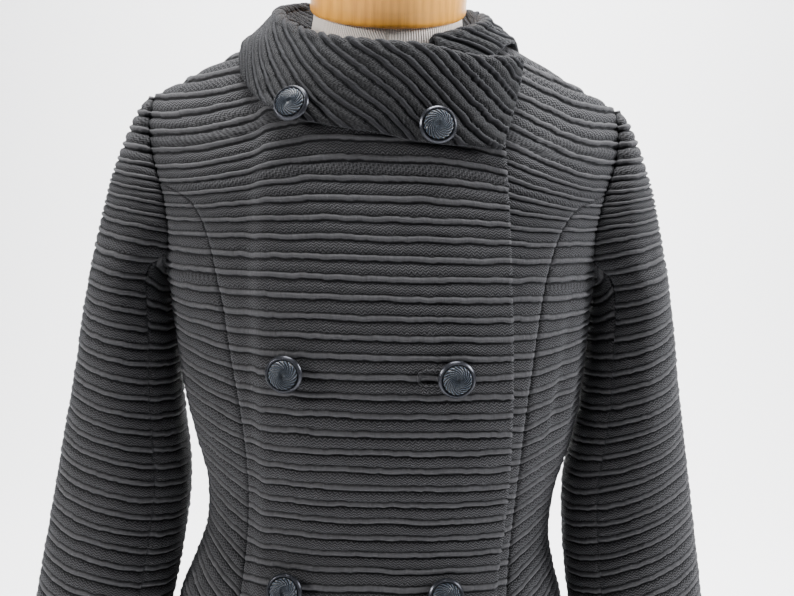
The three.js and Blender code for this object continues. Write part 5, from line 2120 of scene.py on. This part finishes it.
@dataclass
class Studio:
    """Floor, backdrop, lights and the photo's camera, in metres and degrees."""

    camera_at: tuple[float, float, float] = (-0.004, -1.0197, 0.9316)
    pitch: float = 6.92
    yaw: float = 1.07
    roll: float = 1.70
    lens: float = 52.46

    def floor(self, material: bpy.types.Material) -> None:
        """Lay one sheet of paper as the floor, swept up into the backdrop.

        Args:
            material: Its finish.
        """
        bend, wall, half = 1.6, 3.6, 6.0
        profile = [(-5.0, 0.0), (-2.0, 0.0), (0.0, 0.0), (wall - bend, 0.0)]
        profile += [(wall - bend + bend * math.sin(a), bend - bend * math.cos(a))
                    for a in np.linspace(0.05, math.pi / 2, 24)]
        profile.append((wall, 6.0))
        points = [(x, y, z - 0.0005) for y, z in profile for x in (-half, half)]
        faces = [(2 * n, 2 * n + 1, 2 * n + 3, 2 * n + 2) for n in range(len(profile) - 1)]
        mesh = bpy.data.meshes.new("paper_sweep")
        mesh.from_pydata(points, [], faces)
        mesh.shade_smooth()
        mesh.materials.append(material)
        sweep = bpy.data.objects.new("paper_sweep", mesh)
        bpy.context.scene.collection.objects.link(sweep)

    def lamp(self, name: str, at: tuple[float, float, float], power: float, size: float,
             color: tuple[float, float, float] = (1.0, 1.0, 1.0),
             aim: tuple[float, float, float] = (0.0, 0.0, 0.8)) -> None:
        """Hang an area light.

        Args:
            name: Its name.
            at: Where it is.
            power: Its power in watts.
            size: Its side.
            color: Its colour.
            aim: What it points at.
        """
        data = bpy.data.lights.new(name, "AREA")
        data.energy, data.size, data.color = power, size, color
        lamp = bpy.data.objects.new(name, data)
        bpy.context.scene.collection.objects.link(lamp)
        lamp.location = at
        lamp.rotation_euler = (Vector(aim) - Vector(at)).to_track_quat("-Z", "Y").to_euler()

    def light(self) -> None:
        """Soft light from the upper left in front, with a bright ground behind."""
        self.lamp("key", (-2.3, -0.8, 1.8), 76.0, 0.6, (1.0, 0.99, 0.97))
        self.lamp("front", (-0.4, -2.6, 2.0), 3.0, 1.6)
        self.lamp("fill", (2.4, -0.2, 1.9), 130.0, 0.8, (0.97, 0.98, 1.0))
        self.lamp("top", (0.0, 0.1, 2.7), 120.0, 1.0)
        self.lamp("ground", (0.3, 1.4, 2.8), 400.0, 2.6, aim=(0.6, 3.4, 0.9))
        world = bpy.data.worlds.new("studio")
        world.use_nodes = True
        world.node_tree.nodes["Background"].inputs[0].default_value = (0.92, 0.95, 1.0, 1.0)
        world.node_tree.nodes["Background"].inputs[1].default_value = 0.2
        bpy.context.scene.world = world

    def camera(self) -> None:
        """Put the camera where the photo's was."""
        pitch, yaw, roll = (math.radians(a) for a in (self.pitch, self.yaw, self.roll))
        ahead = Vector((math.sin(yaw) * math.cos(pitch), math.cos(yaw) * math.cos(pitch), -math.sin(pitch)))
        right = Vector((math.cos(yaw), -math.sin(yaw), 0.0))
        up = right.cross(ahead)
        side = right * math.cos(roll) + up * math.sin(roll)
        top = up * math.cos(roll) - right * math.sin(roll)
        data = bpy.data.cameras.new("photo_camera")
        data.sensor_width, data.lens, data.clip_start = 36.0, self.lens, 0.01
        camera = bpy.data.objects.new("photo_camera", data)
        bpy.context.scene.collection.objects.link(camera)
        place = Matrix((side, top, -ahead)).transposed().to_4x4()
        place.translation = Vector(self.camera_at)
        camera.matrix_world = place
        bpy.context.scene.camera = camera


FRONT_CREASES = (
    Crease((152, -78, 850), (146, -92, 700), 3.2, 6.5),
    Crease((162, -66, 820), (156, -76, 690), -1.8, 6.0),
    Crease((146, -90, 690), (140, -96, 600), 1.8, 8.0),
    Crease((-140, -85, 850), (-120, -112, 800), 1.6, 9.0),
    Crease((-150, -70, 700), (-118, -104, 640), 1.8, 8.0),
    Crease((40, -134, 860), (62, -130, 700), 0.9, 12.0),
    Crease((-70, -118, 900), (-64, -132, 800), 1.1, 6.0),
    Crease((150, -60, 930), (120, -80, 880), 1.8, 10.0),
    Crease((-150, -60, 935), (-122, -80, 880), 1.5, 11.0),
)
BACK_CREASES = (
    Crease((-90, 95, 660), (40, 90, 640), 2.4, 9.0),
    Crease((-30, 98, 690), (95, 92, 676), 1.9, 8.0),
    Crease((60, 90, 615), (130, 70, 640), 1.7, 7.0),
    Crease((-130, 70, 600), (-60, 92, 612), 2.1, 8.0),
    Crease((-150, 60, 900), (-110, 88, 840), 1.8, 10.0),
    Crease((146, 62, 905), (116, 86, 850), 1.5, 9.0),
)
SLEEVE_CREASES = (
    Crease((206, -55, 700), (262, -40, 690), 2.6, 9.0),
    Crease((200, -50, 655), (255, -50, 668), 2.0, 7.0),
    Crease((196, -52, 610), (240, -60, 598), 1.7, 8.0),
    Crease((225, -60, 860), (214, -64, 790), 1.6, 9.0),
    Crease((250, 45, 720), (200, 62, 700), 2.2, 10.0),
    Crease((252, 40, 640), (196, 55, 655), 1.8, 8.0),
)


def mirrored(creases: Sequence[Crease], hand: Hand, shift: float) -> tuple[Crease, ...]:
    """The creases of one side, a little different on the other.

    Args:
        creases: Creases on the wearer's left.
        hand: Which side is wanted.
        shift: How far they slide up on the right, in mm.

    Returns:
        The creases of that side.
    """
    if hand is Hand.LEFT:
        return tuple(creases)
    turned = []
    for n, c in enumerate(creases):
        move = shift * (1 if n % 2 else -0.6)
        start = (-c.start[0], c.start[1], c.start[2] + move)
        end = (-c.end[0], c.end[1], c.end[2] + move * 0.7)
        turned.append(Crease(start, end, c.depth * (0.8 + 0.1 * n % 0.4), c.width))
    return tuple(turned)


def main() -> None:
    """Build every piece in order and report it."""
    logging.basicConfig(level=logging.INFO, format="%(name)s %(message)s")
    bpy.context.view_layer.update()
    figure, weave = Figure(), Weave()
    cloth = ClothFinish("ribbed_cloth").build()
    # A darker copy of the same cloth for the collar: its thread and rib colours are lowered as painted shade.
    shaded_collar_thread, shaded_collar_rib = (0.018, 0.018, 0.020), (0.017, 0.017, 0.020)
    collar_cloth = ClothFinish("collar_cloth", thread=shaded_collar_thread, rib=shaded_collar_rib).build()
    FrontPanel(figure, weave, cloth, FRONT_CREASES, 11, Hand.RIGHT).build()
    FrontPanel(figure, weave, cloth, FRONT_CREASES, 12, Hand.LEFT, short=14.0, top_layer=False, columns=60,
               steeper=14.0).build()
    BackPanel(figure, weave, cloth, BACK_CREASES, 13).build()
    for hand in Hand:
        for side in Side:
            folds = FRONT_CREASES if side is Side.FRONT else BACK_CREASES
            SidePanel(figure, weave, cloth, folds, 20 + hand.value + side.value, hand, side).build()
        folds = mirrored(SLEEVE_CREASES, hand, 14.0)
        TopSleeve(figure, weave, cloth, folds, 30 + hand.value, hand).build()
        UnderSleeve(figure, weave, cloth, folds, 40 + hand.value, hand).build()
    Collar(figure, weave, collar_cloth, (), 51).build()
    metal, cord = MetalFinish().build(), CordFinish().build()
    for n in range(1, 7):
        Button(f"button_{n}", ButtonSize(), metal, cord, 0.7 * n).build()
    Buttonhole(figure, cloth).build()
    DressForm(figure, CoverFinish().build()).build()
    NeckCap(WoodFinish("honey_wood", (1.0, 0.44, 0.055), (0.55, 0.16, 0.012)).build()).build()
    Stand(WoodFinish("stand_wood", (0.24, 0.095, 0.03), (0.12, 0.04, 0.012)).build()).build()
    studio = Studio()
    studio.floor(StageFinish().build())
    studio.light()
    studio.camera()


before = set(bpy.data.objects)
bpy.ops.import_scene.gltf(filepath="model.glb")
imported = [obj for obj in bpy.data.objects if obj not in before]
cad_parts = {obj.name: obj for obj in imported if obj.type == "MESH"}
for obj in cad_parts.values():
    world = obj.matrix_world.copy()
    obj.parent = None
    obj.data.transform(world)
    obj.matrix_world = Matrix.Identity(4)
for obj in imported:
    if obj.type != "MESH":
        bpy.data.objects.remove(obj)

if __name__ == "__main__":
    main()
